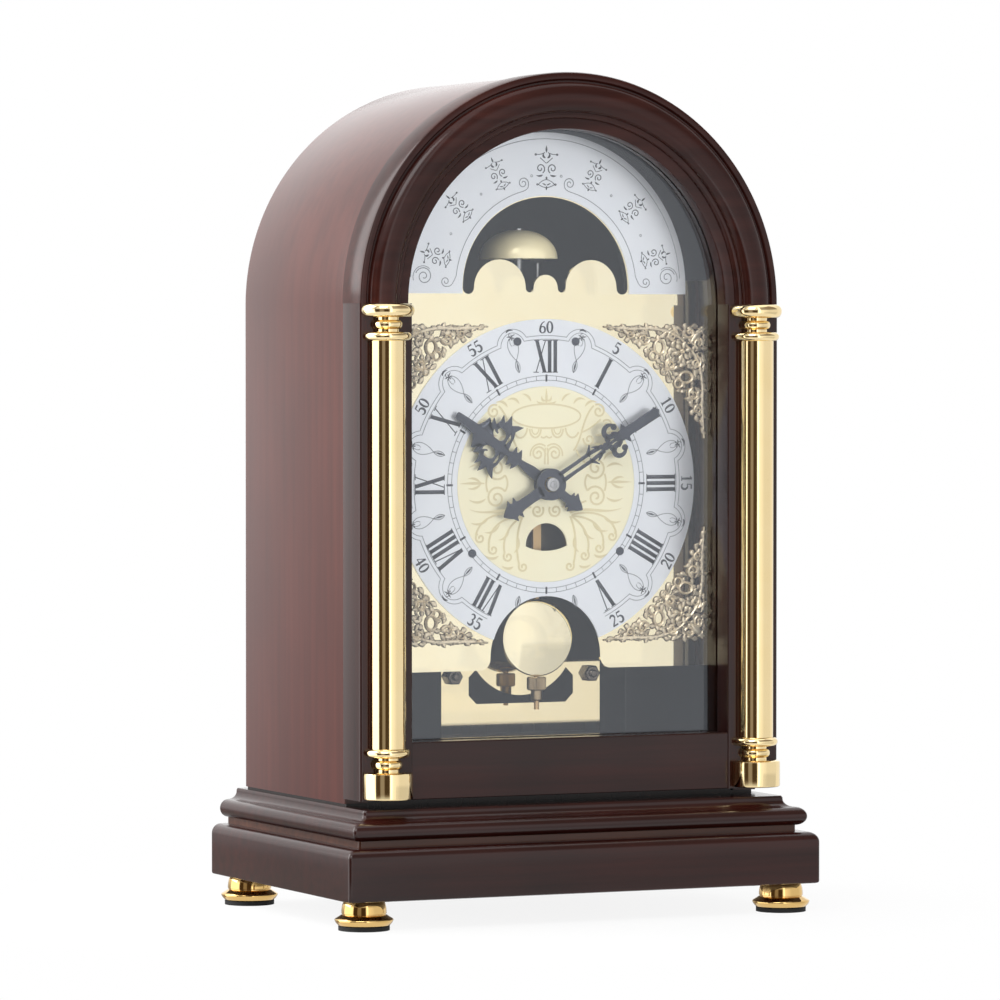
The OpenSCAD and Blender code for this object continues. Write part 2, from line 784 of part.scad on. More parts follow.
// Leafy hour hand: round hub, forked stem, lobed leaf with two eyes, point and a short tail
module hour_hand() {
    half = [[1.4, -21], [3.4, -19.4], [4.6, -16.6], [2.4, -15], [2, -11], [2.2, 13], [4.6, 19],
            [5.9, 22.1], [3.8, 23.4], [8, 23.5], [12.9, 24.5], [11.2, 27], [14.4, 28], [12.5, 30.5],
            [15, 33.5], [11.5, 33.8], [11.5, 36], [8.6, 35.9], [8.4, 38.2], [6.3, 38.4], [8.5, 41],
            [4.5, 42], [3.1, 44], [2.3, 55.5], [0.6, 57]];
    stretch = hour_len / 57;
    color("#4a4c55") sheet_y(hour_front, hour_back) at(centre_p) difference() {
        rotate(-hour_angle) difference() {
            union() {
                circle(hub_r);
                polygon(mirrored([for (h = half) [h[0], h[1] * stretch]]));
            }
            for (s = [-1, 1]) translate([s * 4.4, 31.6 * stretch]) circle(2.2);
        }
        circle(hour_pipe_r);
    }
}

// Minute hand: round hub, split stem with spurs, a pair of scrolls, blade and a longer tail
module minute_hand() {
    half = [[1.4, -28.7], [4.2, -27], [5.4, -24], [3, -22], [3.4, -20], [2, -18], [2.2, 20], [2.6, 24.5],
            [5, 26], [3.4, 28], [2.6, 30], [3.4, 33.5], [6.2, 35], [7.4, 37.2], [6.4, 38.8], [7.2, 40.4],
            [5.6, 42.6], [3.4, 43.4], [3.7, 45], [2.7, 65.6]];
    stretch = minute_len / 65.6;
    color("#4a4c55") sheet_y(minute_front, minute_back) at(centre_p) difference() {
        rotate(-minute_angle) difference() {
            union() {
                circle(hub_r);
                polygon(mirrored([for (h = half) [h[0], h[1] * stretch]]));
            }
            translate([0, 20 * stretch]) square([1.1, 20 * stretch], center = true);
            for (s = [-1, 1]) translate([s * 3.6, 38.4 * stretch]) circle(1.5);
        }
        circle(pipe_r);
    }
}

module hand_nut() {
    color("#d5d5d5") difference() {
        translate([0, minute_front, dial_z]) rotate([90, 0, 0])
            rotate_extrude() polygon([[0, 0], [3.3, 0], [3.3, 0.9], [2.8, 1.6], [1.6, 2.1], [0, 2.2]]);
        rod_y(centre_p, arbor_r, minute_front - 1.3, minute_front + 1);
    }
}

// Pinion and pipe that carry the minute hand
module cannon_pinion() {
    color("#c9ad63") difference() {
        union() {
            rod_y(centre_p, pipe_r, minute_front, minute_wheel_y + 2);
            sheet_y(minute_wheel_y - 0.5, minute_wheel_y + 2.2) at(centre_p)
                gear(cannon_n, minute_module, minute_dir);
        }
        rod_y(centre_p, arbor_r, minute_front - 1, minute_wheel_y + 4);
    }
}

hour_wheel_y = dial_back + 1.1;
module minute_wheel() {
    color("#d8bd72") difference() {
        union() {
            sheet_y(minute_wheel_y, minute_wheel_y + 1.5) at(minute_p)
                gear(minute_n, minute_module, minute_dir + 180 + 180 / minute_n);
            sheet_y(dial_back + 0.8, minute_wheel_y + eps) at(minute_p)
                gear(minute_pinion_n, hour_module, minute_dir + 180 + 180 / minute_pinion_n);
        }
        rod_y(minute_p, arbor_r + run, dial_back, minute_wheel_y + 3);
    }
}

module hour_wheel() {
    color("#d8bd72") difference() {
        union() {
            sheet_y(hour_wheel_y, hour_wheel_y + 1.5) at(centre_p) gear(hour_n, hour_module, minute_dir);
            rod_y(centre_p, hour_pipe_r, hour_front, hour_wheel_y + 1.5);
        }
        rod_y(centre_p, pipe_r + run, hour_front - 1, hour_wheel_y + 3);
    }
}

module plate_outline() {
    translate([-plate_half, plate_bottom]) square([2 * plate_half, plate_top - plate_bottom]);
}
corner_pillars = [[-44, plate_bottom + 6], [44, plate_bottom + 6], [-44, plate_top - 6], [44, plate_top - 6]];
barrel_arbor_r = 2.5;

// Front plate with the stud of the minute wheel
module front_plate() {
    color("#d8bd72") {
        difference() {
            sheet_y(plate_front, plate_inner) plate_outline();
            for (p = [centre_p, third_p, escape_p, anchor_p, hammer_p])
                rod_y(p, arbor_r + run, plate_front - 1, plate_inner + 1);
            rod_y(barrel_p, barrel_arbor_r + run, plate_front - 1, plate_inner + 1);
            for (p = corner_pillars) rod_y(p, stud_r + slip, plate_front - 1, plate_inner + 1);
        }
        rod_y(minute_p, arbor_r, dial_back + 0.8, plate_front);
    }
}

// Back plate with the stud of the click
module back_plate() {
    color("#d8bd72") {
        difference() {
            sheet_y(plate_rear, movement_back) plate_outline();
            for (p = [centre_p, third_p, escape_p, hammer_p])
                rod_y(p, arbor_r + run, plate_rear - 1, movement_back + 1);
            rod_y(barrel_p, barrel_arbor_r + run, plate_rear - 1, movement_back + 1);
            for (p = corner_pillars) rod_y(p, stud_r + slip, plate_rear - 1, movement_back + 1);
        }
        rod_y(click_p, arbor_r, movement_back, movement_back + 3.4);
    }
}

module plate_pillars() {
    color("#c9ad63") for (p = corner_pillars) {
        rod_y(p, pillar_r, plate_inner, plate_rear);
        rod_y(p, stud_r, plate_front - 1.5, movement_back + 1.5);
    }
}

// Centre arbor with its pinion, wheel and strike cam
module centre_wheel() {
    color("#d8bd72") {
        rod_y(centre_p, arbor_r, minute_front - 1.2, movement_back + 12);
        sheet_y(centre_y, centre_y + 1.5) at(centre_p) gear(centre_n, fast_module, third_dir);
        sheet_y(barrel_y - 0.7, barrel_y + 2.3) at(centre_p) gear(centre_pinion_n, barrel_module, barrel_dir);
        sheet_y(strike_y, strike_y + 1.6) at(centre_p) {
            circle(4.5);
            translate([0, -1.5]) square([6.5, 3]);
        }
    }
}

module third_wheel() {
    color("#d8bd72") {
        rod_y(third_p, arbor_r, plate_front + 0.3, movement_back - 0.3);
        sheet_y(centre_y - 0.8, centre_y + 2.3) at(third_p)
            gear(third_pinion_n, fast_module, third_dir + 180 + 180 / third_pinion_n);
        sheet_y(third_y, third_y + 1.2) at(third_p) gear(third_n, fast_module, escape_dir);
    }
}

module escape_wheel() {
    color("#d8bd72") {
        rod_y(escape_p, arbor_r, plate_front + 0.3, movement_back - 0.3);
        sheet_y(third_y - 0.9, third_y + 2.1) at(escape_p)
            gear(escape_pinion_n, fast_module, escape_dir + 180 + 180 / escape_pinion_n);
        sheet_y(escape_y, escape_y + 1.4) at(escape_p) polygon(saw_points(escape_n, escape_r, escape_r - 2));
    }
}

// Anchor on its arbor; the pallets stand clear of the escape wheel's teeth at every swing
module anchor() {
    reach = escape_p - anchor_p;
    to_anchor = atan2(-reach[1], -reach[0]);
    color("#9a9da3") {
        rod_y(anchor_p, arbor_r, pendulum_y - 4, cock_y + 2);
        sheet_y(escape_y, escape_y + 1.8) {
            at(anchor_p) circle(3.2);
            for (s = [-50, 50]) {
                out = heading(to_anchor + s);
                bar(anchor_p, escape_p + (escape_r + 4.4) * out, 2.2);
                bar(escape_p + (escape_r + 5.5) * out, escape_p + (escape_r + 1.5) * out, 2);
            }
        }
    }
}

// Bracket that holds the anchor's back pivot
module anchor_cock() {
    foot_p = anchor_p + [13, -2];
    color("#d8bd72") difference() {
        union() {
            sheet_y(cock_y, cock_y + 2.2) {
                at(anchor_p) circle(4);
                bar(anchor_p, foot_p, 5);
                at(foot_p) circle(4);
            }
            rod_y(foot_p, 3.2, plate_inner, cock_y + eps);
        }
        rod_y(anchor_p, arbor_r + run, cock_y - 1, cock_y + 3);
    }
}

// Going barrel: toothed rim with a hollow drum
module great_wheel() {
    color("#d8bd72") difference() {
        union() {
            sheet_y(barrel_y, barrel_y + 1.6) at(barrel_p)
                gear(barrel_n, barrel_module, barrel_dir + 180 + 180 / barrel_n);
            rod_y(barrel_p, barrel_r, barrel_y, barrel_y + barrel_l);
        }
        rod_y(barrel_p, barrel_r - barrel_wall, barrel_y + barrel_wall, barrel_y + barrel_l - barrel_wall);
        rod_y(barrel_p, barrel_arbor_r + run, barrel_y - 1, barrel_y + barrel_l + 1);
    }
}

// Wound mainspring inside the barrel
module mainspring() {
    color("#7d8794") sheet_y(barrel_y + 2, barrel_y + barrel_l - 2) at(barrel_p) difference() {
        circle(barrel_r - barrel_wall - slip);
        circle(10);
    }
}

module barrel_arbor() {
    color("#9a9da3") {
        rod_y(barrel_p, barrel_arbor_r, plate_front + 0.3, movement_back + 22);
        rod_y(barrel_p, 5, barrel_y + 2, barrel_y + barrel_l - 2);
    }
}

module ratchet_wheel() {
    color("#9a9da3") sheet_y(movement_back + 0.8, movement_back + 2.4) at(barrel_p) difference() {
        polygon(saw_points(ratchet_n, ratchet_r, ratchet_r - 1.6));
        circle(barrel_arbor_r + run);
    }
}

// Click that holds the ratchet, just clear of its teeth
module click() {
    inward = (barrel_p - click_p) / norm(barrel_p - click_p);
    tip = barrel_p - (ratchet_r + 0.5) * inward;
    color("#9a9da3") sheet_y(movement_back + 0.8, movement_back + 2.4) difference() {
        union() {
            at(click_p) circle(3.2);
            bar(click_p, tip, 2.6);
        }
        at(click_p) circle(arbor_r + run);
    }
}

module winding_key() {
    key_y = movement_back + 14;
    color("#d8bd72") difference() {
        union() {
            rod_y(barrel_p, 4.6, key_y, key_y + 14);
            translate([barrel_p[0], key_y + 13, barrel_p[1] - 1.2]) linear_extrude(2.4) {
                for (s = [-1, 1]) translate([s * 11, 0]) circle(7.5);
                square([16, 8], center = true);
            }
        }
        rod_y(barrel_p, barrel_arbor_r + run, key_y - 1, movement_back + 22);
    }
}

module setting_knob() {
    knob_y = movement_back + 5;
    color("#d8bd72") sheet_y(knob_y, knob_y + 6) at(centre_p) difference() {
        polygon(gear_points(32, 0.42));
        circle(arbor_r);
    }
}

rod_r = 1.2;
nut_top = bob_z - bob_r - 0.3;
// Clamp, flat leader and threaded lower rod of the pendulum
module pendulum_rod() {
    join_z = bob_z + bob_r + 5;
    color("#cfc8b4") {
        difference() {
            union() {
                rod_y(anchor_p, 4.5, pendulum_y - 1.5, pendulum_y + 1.5);
                box(-2, 2, pendulum_y - 0.8, pendulum_y + 0.8, join_z, pivot_z - 3);
            }
            rod_y(anchor_p, arbor_r, pendulum_y - 3, pendulum_y + 3);
        }
        rod_z(0, pendulum_y, rod_r, nut_top - 15.2, join_z + 3);
    }
}

// Domed bob with a flat rim, bored for the rod
module pendulum_bob() {
    front = [for (i = [0:12]) [bob_r * (1 - i / 12), 0.6 + bob_front * (1 - pow(1 - i / 12, 2))]];
    back = [for (i = [12:-1:0]) [(bob_r - 0.4) * cos(i * 7.5), -0.6 - bob_back * sin(i * 7.5)]];
    color("#eeeacb") difference() {
        translate([0, pendulum_y - 1, bob_z]) rotate([90, 0, 0])
            rotate_extrude() polygon(concat(front, back));
        rod_z(0, pendulum_y, rod_r + run, bob_z - bob_r - 1, bob_z + bob_r + 1);
    }
}

module rating_nut() {
    color("#d8bd72") difference() {
        union() {
            rod_z(0, pendulum_y, rating_r, nut_top - 6.2, nut_top);
            rod_z(0, pendulum_y, 2.7, nut_top - 11, nut_top - 6.2);
        }
        rod_z(0, pendulum_y, rod_r + run, nut_top - 12, nut_top + 1);
    }
}

module bell() {
    outer = [for (i = [0:14]) [bell_r * cos(i * 90 / 14), bell_h * sin(i * 90 / 14)]];
    inner = [for (i = [0:14]) [(bell_r - bell_t) * cos(i * 90 / 14), (bell_h - bell_t) * sin(i * 90 / 14)]];
    hollow = [for (i = [14:-1:0]) if (inner[i][0] > bell_seat_r) inner[i]];
    color("#d9c489") translate([0, bell_y, bell_z]) difference() {
        rotate_extrude() polygon(concat(outer, [[0, bell_seat_h], [bell_seat_r, bell_seat_h]], hollow));
        cylinder(h = bell_h + 1, r = bell_post_r + slip);
    }
}
bell_post_r = 2;
bell_seat_r = 4;
bell_seat_h = (bell_h - bell_t) * 0.96;

// Cross bar between the plates with the post that carries the bell
module bell_post() {
    bar_z = plate_top - 10;
    crown = bell_z + bell_h;
    color("#8f8f92") {
        box(-4, 4, plate_inner, plate_rear, bar_z, bar_z + 6);
        rod_z(0, bell_y, bell_post_r, bar_z + 6, crown + 0.6);
        rod_z(0, bell_y, 3.2, bell_z + 2, bell_z + bell_seat_h);
    }
}

// Hammer: arbor, hub, wire with its head under the bell, and the tail that the strike cam lifts
module hammer() {
    head_z = bell_z;
    color("#c6c2b8") {
        rod_y(hammer_p, arbor_r, plate_front + 0.3, movement_back - 0.3);
        rod_y(hammer_p, 2.8, strike_y - 0.5, hammer_y + 2.5);
        rod_z(hammer_p[0], hammer_y, 0.9, hammer_p[1], head_z);
        translate([hammer_p[0] - 2.8, hammer_y, head_z]) rotate([0, 90, 0]) cylinder(h = 5.6, r = 2.2);
        sheet_y(strike_y, strike_y + 1.6) bar(hammer_p, [hammer_p[0], dial_z + 8.5], 2);
    }
}

// Board across the case that the movement stands on
module seat_board() {
    color("#2c2020") box(-inner_half, inner_half, plate_front, movement_back + 3, seat_z, plate_bottom);
}

nut_x = 35.5;
apron_window_half = 27;
// Upright gilt plate behind the bob, with a window and a foot on the floor board
module apron_plate() {
    win_z0 = bob_z - 31.5;
    win_h = 16.5;
    corner = 4;
    color("#e9cf88") {
        sheet_y(apron_front, apron_front + apron_t) difference() {
            translate([-apron_half_w, floor_z]) square([2 * apron_half_w, apron_top - floor_z]);
            difference() {
                translate([-apron_window_half, win_z0]) polygon([
                    [corner, 0], [2 * apron_window_half - corner, 0], [2 * apron_window_half, corner],
                    [2 * apron_window_half, win_h - corner], [2 * apron_window_half - corner, win_h],
                    [corner, win_h], [0, win_h - corner], [0, corner]]);
                translate([0, bob_z]) circle(27.8);
            }
            for (s = [-1, 1]) translate([s * nut_x, apron_nut_z]) circle(stud_r + slip);
        }
        box(-apron_half_w, apron_half_w, apron_front + apron_t - eps, apron_front + 16,
            floor_z, floor_z + apron_t);
    }
}

// Studs with hex nuts in front of and behind the apron plate
module apron_nuts() {
    color("#6d6a64") for (s = [-1, 1]) {
        p = [s * nut_x, apron_nut_z];
        rod_y(p, stud_r, apron_front - 6, apron_front + 6);
        for (y = [apron_front - 4, apron_front + apron_t])
            translate([p[0], y + 4, p[1]]) rotate([90, 0, 0]) cylinder(h = 4, r = 4.6, $fn = 6);
    }
}

base_slab();
base_moulding();
feet();
foot_pads();
case_shell();
case_floor();
dial_surround();
case_screws();
back_door();
back_latch();
back_hinge_fixed();
back_hinge_moving();
door_arch();
door_stile_left();
door_stile_right();
door_rail();
door_glass();
glass_bead();
column_left();
column_right();
door_hinge_fixed();
door_hinge_moving();
door_catch();
dial_plate();
chapter_ring();
centre_disc();
moon_arch();
spandrels();
dial_screws();
dial_pillars();
hour_hand();
minute_hand();
hand_nut();
cannon_pinion();
minute_wheel();
hour_wheel();
front_plate();
back_plate();
plate_pillars();
centre_wheel();
third_wheel();
escape_wheel();
anchor();
anchor_cock();
great_wheel();
mainspring();
barrel_arbor();
ratchet_wheel();
click();
winding_key();
setting_knob();
pendulum_rod();
pendulum_bob();
rating_nut();
bell();
bell_post();
hammer();
seat_board();
apron_plate();
apron_nuts();
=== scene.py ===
# %% [markdown]
# # An arched table clock
# The clock is a dark stained wooden tunnel on a moulded base. A glazed door with two brass half columns
# closes its front, and behind the glass sit a mirror polished dial, silvered rings, black hands and a bell.
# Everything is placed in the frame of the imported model: millimetres in the code, metres in Blender.

# %% Load the frame
import bmesh
import bpy
import numpy as np
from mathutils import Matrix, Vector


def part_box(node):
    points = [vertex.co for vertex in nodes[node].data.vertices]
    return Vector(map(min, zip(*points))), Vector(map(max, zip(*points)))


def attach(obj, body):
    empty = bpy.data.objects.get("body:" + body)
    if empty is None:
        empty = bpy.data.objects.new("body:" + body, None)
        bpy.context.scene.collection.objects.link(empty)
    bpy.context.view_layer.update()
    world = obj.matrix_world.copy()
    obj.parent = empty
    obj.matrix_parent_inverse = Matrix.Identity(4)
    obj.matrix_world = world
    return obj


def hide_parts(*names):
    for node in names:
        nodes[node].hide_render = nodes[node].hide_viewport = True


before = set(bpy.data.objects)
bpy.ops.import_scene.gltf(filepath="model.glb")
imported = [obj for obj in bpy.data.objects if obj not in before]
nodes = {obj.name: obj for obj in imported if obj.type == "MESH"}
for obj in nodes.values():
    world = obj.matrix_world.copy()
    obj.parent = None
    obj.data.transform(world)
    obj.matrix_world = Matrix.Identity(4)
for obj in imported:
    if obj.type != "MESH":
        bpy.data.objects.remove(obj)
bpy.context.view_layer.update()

# %% [markdown]
# ## Sizes taken from the solids
# A piece that replaces a solid has to sit exactly where the solid is. The main levels are therefore read
# from the boxes of the solids, and only the shape between those levels is written down here.

# %% Levels in millimetres
def box_mm(node):
    """Lowest and highest corner of a solid, in millimetres."""
    low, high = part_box(node)
    return np.array(low) * 1000, np.array(high) * 1000


SLAB_LOW, SLAB_HIGH = box_mm("base_slab")
MOULD_LOW, MOULD_HIGH = box_mm("base_moulding")
SHELL_LOW, SHELL_HIGH = box_mm("case_shell")
DOOR_LOW, DOOR_HIGH = box_mm("door_stile_right")
RING_LOW, RING_HIGH = box_mm("chapter_ring")
SPRING = DOOR_HIGH[2]
DOOR_FRONT, DOOR_BACK = DOOR_LOW[1], DOOR_HIGH[1]
OPENING, DOOR_HALF = DOOR_LOW[0], DOOR_HIGH[0]
RING_R, RING_FRONT = RING_HIGH[0], RING_LOW[1]
DIAL_Z, DIAL_FRONT = RING_HIGH[2] - RING_R, box_mm("dial_plate")[0][1]
# The arch of the dial has its centre a little above the spring line of the door.
MOON_Z = SPRING + 7.5
CENTRE, MOON = (0.0, DIAL_Z), (0.0, MOON_Z)
print("spring line", round(SPRING, 2), "dial centre", round(DIAL_Z, 2), "ring radius", round(RING_R, 2))

# %% [markdown]
# ## Helpers for surfaces
# Every new form is a grid of points: one index runs along a path or round an axis, the other along a profile.
# The faces are the quads between neighbours. Seams are merged afterwards, so a revolved profile may start and
# end on its axis.

# %% Grid, turning and sweeping
def stack(*parts):
    """Points from their coordinates; each is a number or an array that spreads over the others."""
    return np.stack(np.broadcast_arrays(*parts), -1)


def fan(start, stop, count):
    """Evenly spaced angles, given in degrees and handed on in radians."""
    return np.radians(np.linspace(start, stop, count))


def grid_faces(rows, cols, wrap_rows, wrap_cols):
    """Quads between neighbours in a grid of rows by cols points, closed round either way if asked."""
    r = np.arange(rows if wrap_rows else rows - 1)[:, None]
    c = np.arange(cols if wrap_cols else cols - 1)[None, :]
    r2, c2 = (r + 1) % rows, (c + 1) % cols
    return np.stack([r * cols + c, r * cols + c2, r2 * cols + c2, r2 * cols + c], -1).reshape(-1, 4)


def shell(points, wrap_rows=False, wrap_cols=True):
    """Points and faces of one surface; open ends of a closed section are capped by one face each."""
    rows, cols = points.shape[:2]
    faces = grid_faces(rows, cols, wrap_rows, wrap_cols).tolist()
    if wrap_cols and not wrap_rows:
        faces += [list(range(cols)), list(range((rows - 1) * cols, rows * cols))]
    return points.reshape(-1, 3), faces


def softened(corners, radius, steps=4):
    """Round the corners of a closed outline: a curve leaves each side `radius` before the corner and meets the
    next side as far after it, p = (1-t)^2 a + 2t(1-t) corner + t^2 b."""
    p = np.asarray(corners, float)
    radius = np.broadcast_to(np.asarray(radius, float), len(p))[:, None]
    back, ahead = np.roll(p, 1, 0) - p, np.roll(p, -1, 0) - p
    a = p + back / np.linalg.norm(back, axis=1, keepdims=True) * radius
    b = p + ahead / np.linalg.norm(ahead, axis=1, keepdims=True) * radius
    t = np.linspace(0, 1, steps + 1)[None, :, None]
    return ((1 - t) ** 2 * a[:, None] + 2 * t * (1 - t) * p[:, None] + t ** 2 * b[:, None]).reshape(-1, 2)


def turned(profile, at, axis="z", steps=64):
    """Turn a profile of (radius, height) points round an upright axis, or of (radius, y) round a line to the back:
    the two directions across the axis are radius * cos a and radius * sin a."""
    r, h = np.asarray(profile, float).T
    a = np.linspace(0, 2 * np.pi, steps, endpoint=False)[:, None]
    u, v = r * np.cos(a), r * np.sin(a)
    points = stack(u, v, h) if axis == "z" else stack(u, h, v)
    return shell(points + np.asarray(at, float), wrap_rows=True, wrap_cols=False)


def arch_sweep(section, foot, stops, bend=96):
    """Carry a closed section of (radius, y) points up one side, round the half circle and down the other:
    x = radius * nx, z = centre + radius * nz, where the centre climbs from `foot` over the heights in `stops` to
    the spring line."""
    r, y = np.asarray(section, float).T
    t = np.linspace(0, np.pi, bend + 1)
    side = np.zeros(1 + len(stops))
    centre = np.concatenate([[foot], stops, np.full(bend + 1, SPRING), [foot]])[:, None]
    nx = np.concatenate([side + 1, np.cos(t), [-1]])[:, None]
    nz = np.concatenate([side, np.sin(t), [0]])[:, None]
    return shell(stack(r * nx, y, centre + r * nz))


def drawn_out(section, ends, order):
    """Carry a closed flat section straight along a line between two `ends`; `order` says which of the three
    coordinates (line, first, second) becomes x, y and z."""
    first, second = np.asarray(section, float).T
    line = np.array(ends, float)[:, None]
    return shell(stack(line, first, second)[..., order])


print("surface helpers ready")

# %% [markdown]
# ## From points to a piece
# One function makes the mesh, merges the seams, turns the faces outward, shades it smooth up to a crease angle,
# gives it its finish and ties it to the body that carries it.

# %% Piece maker
def piece(name, shells, body, finishes, stands_for=(), crease=35, bevel=0.0):
    """Join shells (points, faces[, finish number]) into one mesh object in metres and hand it to a body."""
    verts, faces, picks, start = [], [], [], 0
    for s in shells:
        verts.append(s[0])
        faces += [[i + start for i in f] for f in s[1]]
        picks += list(np.broadcast_to(s[2] if len(s) > 2 else 0, len(s[1])))
        start += len(s[0])
    mesh = bpy.data.meshes.new(name)
    mesh.from_pydata((np.concatenate(verts) * 0.001).tolist(), [], faces)
    mesh.polygons.foreach_set("material_index", np.array(picks, np.int32))
    bm = bmesh.new()
    bm.from_mesh(mesh)
    bmesh.ops.remove_doubles(bm, verts=bm.verts, dist=1e-6)
    bmesh.ops.recalc_face_normals(bm, faces=bm.faces)
    bm.to_mesh(mesh)
    bm.free()
    mesh.shade_smooth()
    mesh.set_sharp_from_angle(angle=np.radians(crease))
    for coat in finishes if isinstance(finishes, (list, tuple)) else [finishes]:
        mesh.materials.append(coat)
    obj = bpy.data.objects.new(name, mesh)
    bpy.context.scene.collection.objects.link(obj)
    if bevel:
        m = obj.modifiers.new("eased_edges", "BEVEL")
        m.width, m.segments, m.limit_method, m.angle_limit = bevel * 0.001, 3, "ANGLE", np.radians(40)
    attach(obj, body)
    if stands_for:
        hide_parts(*stands_for)
    print("piece", name, len(mesh.polygons), "faces")
    return obj


print("piece maker ready")

# %% [markdown]
# ## Finishes
# Colours are written as sRGB hex values, as a paint card would give them, and one function turns them to the
# linear values that Blender works with. One more function adds a node with its settings and links.

# %% Colour and node helpers
def linear(code):
    """Linear colour of an sRGB hex code: each channel has the sRGB curve undone."""
    c = np.array([int(code[i:i + 2], 16) for i in (1, 3, 5)]) / 255
    return (*np.where(c <= 0.04045, c / 12.92, ((c + 0.055) / 1.055) ** 2.4).tolist(), 1.0)


def add(tree, kind, inputs=None, **settings):
    """Add one node: settings are its own properties, inputs are values, or the outputs that feed its sockets. A node
    that is given as an input stands for its first output in use."""
    node = tree.nodes.new("ShaderNode" + kind)
    for key, value in settings.items():
        setattr(node, key, value)
    for key, value in (inputs or {}).items():
        if isinstance(value, bpy.types.Node):
            value = next(socket for socket in value.outputs if socket.enabled)
        if isinstance(value, bpy.types.NodeSocket):
            tree.links.new(value, node.inputs[key])
        else:
            node.inputs[key].default_value = value
    return node


def finish(name):
    """A new material, its empty tree and its Object coordinates."""
    mat = bpy.data.materials.new(name)
    mat.use_nodes = True
    tree = mat.node_tree
    tree.nodes.clear()
    return mat, tree, add(tree, "TexCoord").outputs["Object"]


WHITE = linear("#ffffff")
print("white is", WHITE)

# %% [markdown]
# ### Stained wood
# The case is a close grained hardwood under a deep red brown stain and a satin lacquer. The grain hardly shows:
# it is a slow change of tone, long along the board and a few millimetres across. The lacquer is a clear coat,
# which gives the pale haze on faces that are seen at a low angle.

# %% Stained wood
def stained_wood(name, grain, dark="#240b08", light="#3a1510", rough=0.36, lacquer=0.75):
    """Streaks 5 mm wide and 125 mm long times clouds about 70 mm wide; `grain` is the direction of the board."""
    mat, tree, place = finish(name)
    stretch = [1000 / 125 if axis == grain else 1000 / 5 for axis in "xyz"]
    flow = add(tree, "Mapping", {"Vector": place, "Scale": stretch})
    streak = add(tree, "TexNoise", {"Vector": flow, "Scale": 1.0, "Detail": 4.0})
    cloud = add(tree, "TexNoise", {"Vector": place, "Scale": 14.0, "Detail": 2.0})
    both = add(tree, "Math", {0: streak, 1: cloud}, operation="MULTIPLY")
    level = add(tree, "MapRange", {"Value": both, "From Min": 0.12, "From Max": 0.42})
    tone = add(tree, "Mix", {"Factor": level, "A": linear(dark), "B": linear(light)}, data_type="RGBA")
    sheen = add(tree, "MapRange", {"Value": cloud, "To Min": rough - 0.05, "To Max": rough + 0.05})
    bump = add(tree, "Bump", {"Height": streak, "Strength": 0.03, "Distance": 0.0004})
    board = add(tree, "BsdfPrincipled", {"Base Color": tone, "Roughness": sheen, "Normal": bump, "Coat Weight": lacquer,
                                         "Coat Roughness": 0.15, "Specular IOR Level": 0.05})
    add(tree, "OutputMaterial", {"Surface": board})
    return mat


# Stiles: deep red brown, nearly black away from the light.
WOOD_UP = stained_wood("stained_wood_upright", "z")
# Base and rail: the same stain, with the grain lying across.
WOOD_WIDE = stained_wood("stained_wood_across", "x")
# Case sides and back door: the same stain painted lighter and redder, a lit copy that stands in for the light on the
# broad faces.
WOOD_CASE_PAINTED_LIGHTER = stained_wood("stained_wood_case_painted_light", "z", "#4b1f18", "#5c2920", 0.34)
# Door head: thinner lacquer, so that the moulding glows more than it mirrors.
WOOD_HEAD = stained_wood("stained_wood_head", "x", "#2e100c", "#46201a", 0.36, 0.45)
# Boards inside the case: dull, and the stain painted nearly black as a shaded copy for the dark inside the case.
WOOD_INSIDE_PAINTED_SHADE = stained_wood("stained_wood_inside_painted_shade", "z", "#1a0a07", "#28110b", 0.5)
# The groove of the base: a light brown line, where the stain is thin.
WOOD_GROOVE = stained_wood("stained_wood_groove", "x", "#42200f", "#6c3a22", 0.5)
print("wood finishes ready")

# %% [markdown]
# ### Metals
# Lacquered brass, the pale mirror polished dial, the silvered rings and the steel all share one recipe: a metal
# colour that drifts a little, and a roughness that is higher where fingers and cloth have dulled it.
# What sets them apart is the colour, the roughness and whether fine brushing lines run along one direction.

# %% Metals
def metal(name, dark, light, rough, spread=0.03, brush=None, patch=60.0, bare=1.0):
    """Metal with tone patches 1000/patch mm wide, and brushing 0.25 mm apart and 17 mm long if asked. `bare` is the
    share of open metal; the rest is a dull, lacquered or frosted skin."""
    mat, tree, place = finish(name)
    where = place
    if brush:
        stretch = [60.0 if axis == brush else 1000 / 0.25 for axis in "xyz"]
        where = add(tree, "Mapping", {"Vector": place, "Scale": stretch})
    fine = add(tree, "TexNoise", {"Vector": where, "Scale": 1.0 if brush else patch * 6, "Detail": 3.0})
    broad = add(tree, "TexNoise", {"Vector": place, "Scale": patch, "Detail": 2.0})
    tone = add(tree, "Mix", {"Factor": broad, "A": linear(dark), "B": linear(light)}, data_type="RGBA")
    level = add(tree, "MapRange", {"Value": fine, "To Min": max(rough - spread, 0.01), "To Max": rough + spread})
    sheet = add(tree, "BsdfPrincipled", {"Base Color": tone, "Roughness": level, "Metallic": bare})
    add(tree, "OutputMaterial", {"Surface": sheet})
    return mat


GILT_TONES = "#f6e8c2", "#faf0d0"
# Columns, hinges and latch: a warm mirror with slightly soft edges.
BRASS = metal("lacquered_brass", "#efd6a0", "#f5e0b2", 0.09)
# Feet: brass in a deeper gold, partly painted reflection of the brown wood and dark underside they mirror, with sharp
# lights.
FOOT = metal("warm_foot_brass", "#d8b06a", "#e4c284", 0.07)
# Wheels and plates: fine lines and a broad sheen, but no clear reflection.
WHEEL = metal("brushed_wheel_brass", "#c2a055", "#dcbd74", 0.28, 0.08, "x")
# Bob: pale gold that mirrors the room almost unchanged.
GILT = metal("mirror_gilt_dial", *GILT_TONES, 0.035, 0.01)
# Centre of the dial: creamy and frosted, so that the engraving reads on it.
DISC = metal("satin_gilt_disc", "#fff5d2", "#fffada", 0.38, 0.04, bare=0.68)
# Apron: a shade deeper than the dial and nearly as sharp.
APRON = metal("gilt_apron", "#f1dfb2", "#f4e5be", 0.05, 0.01)
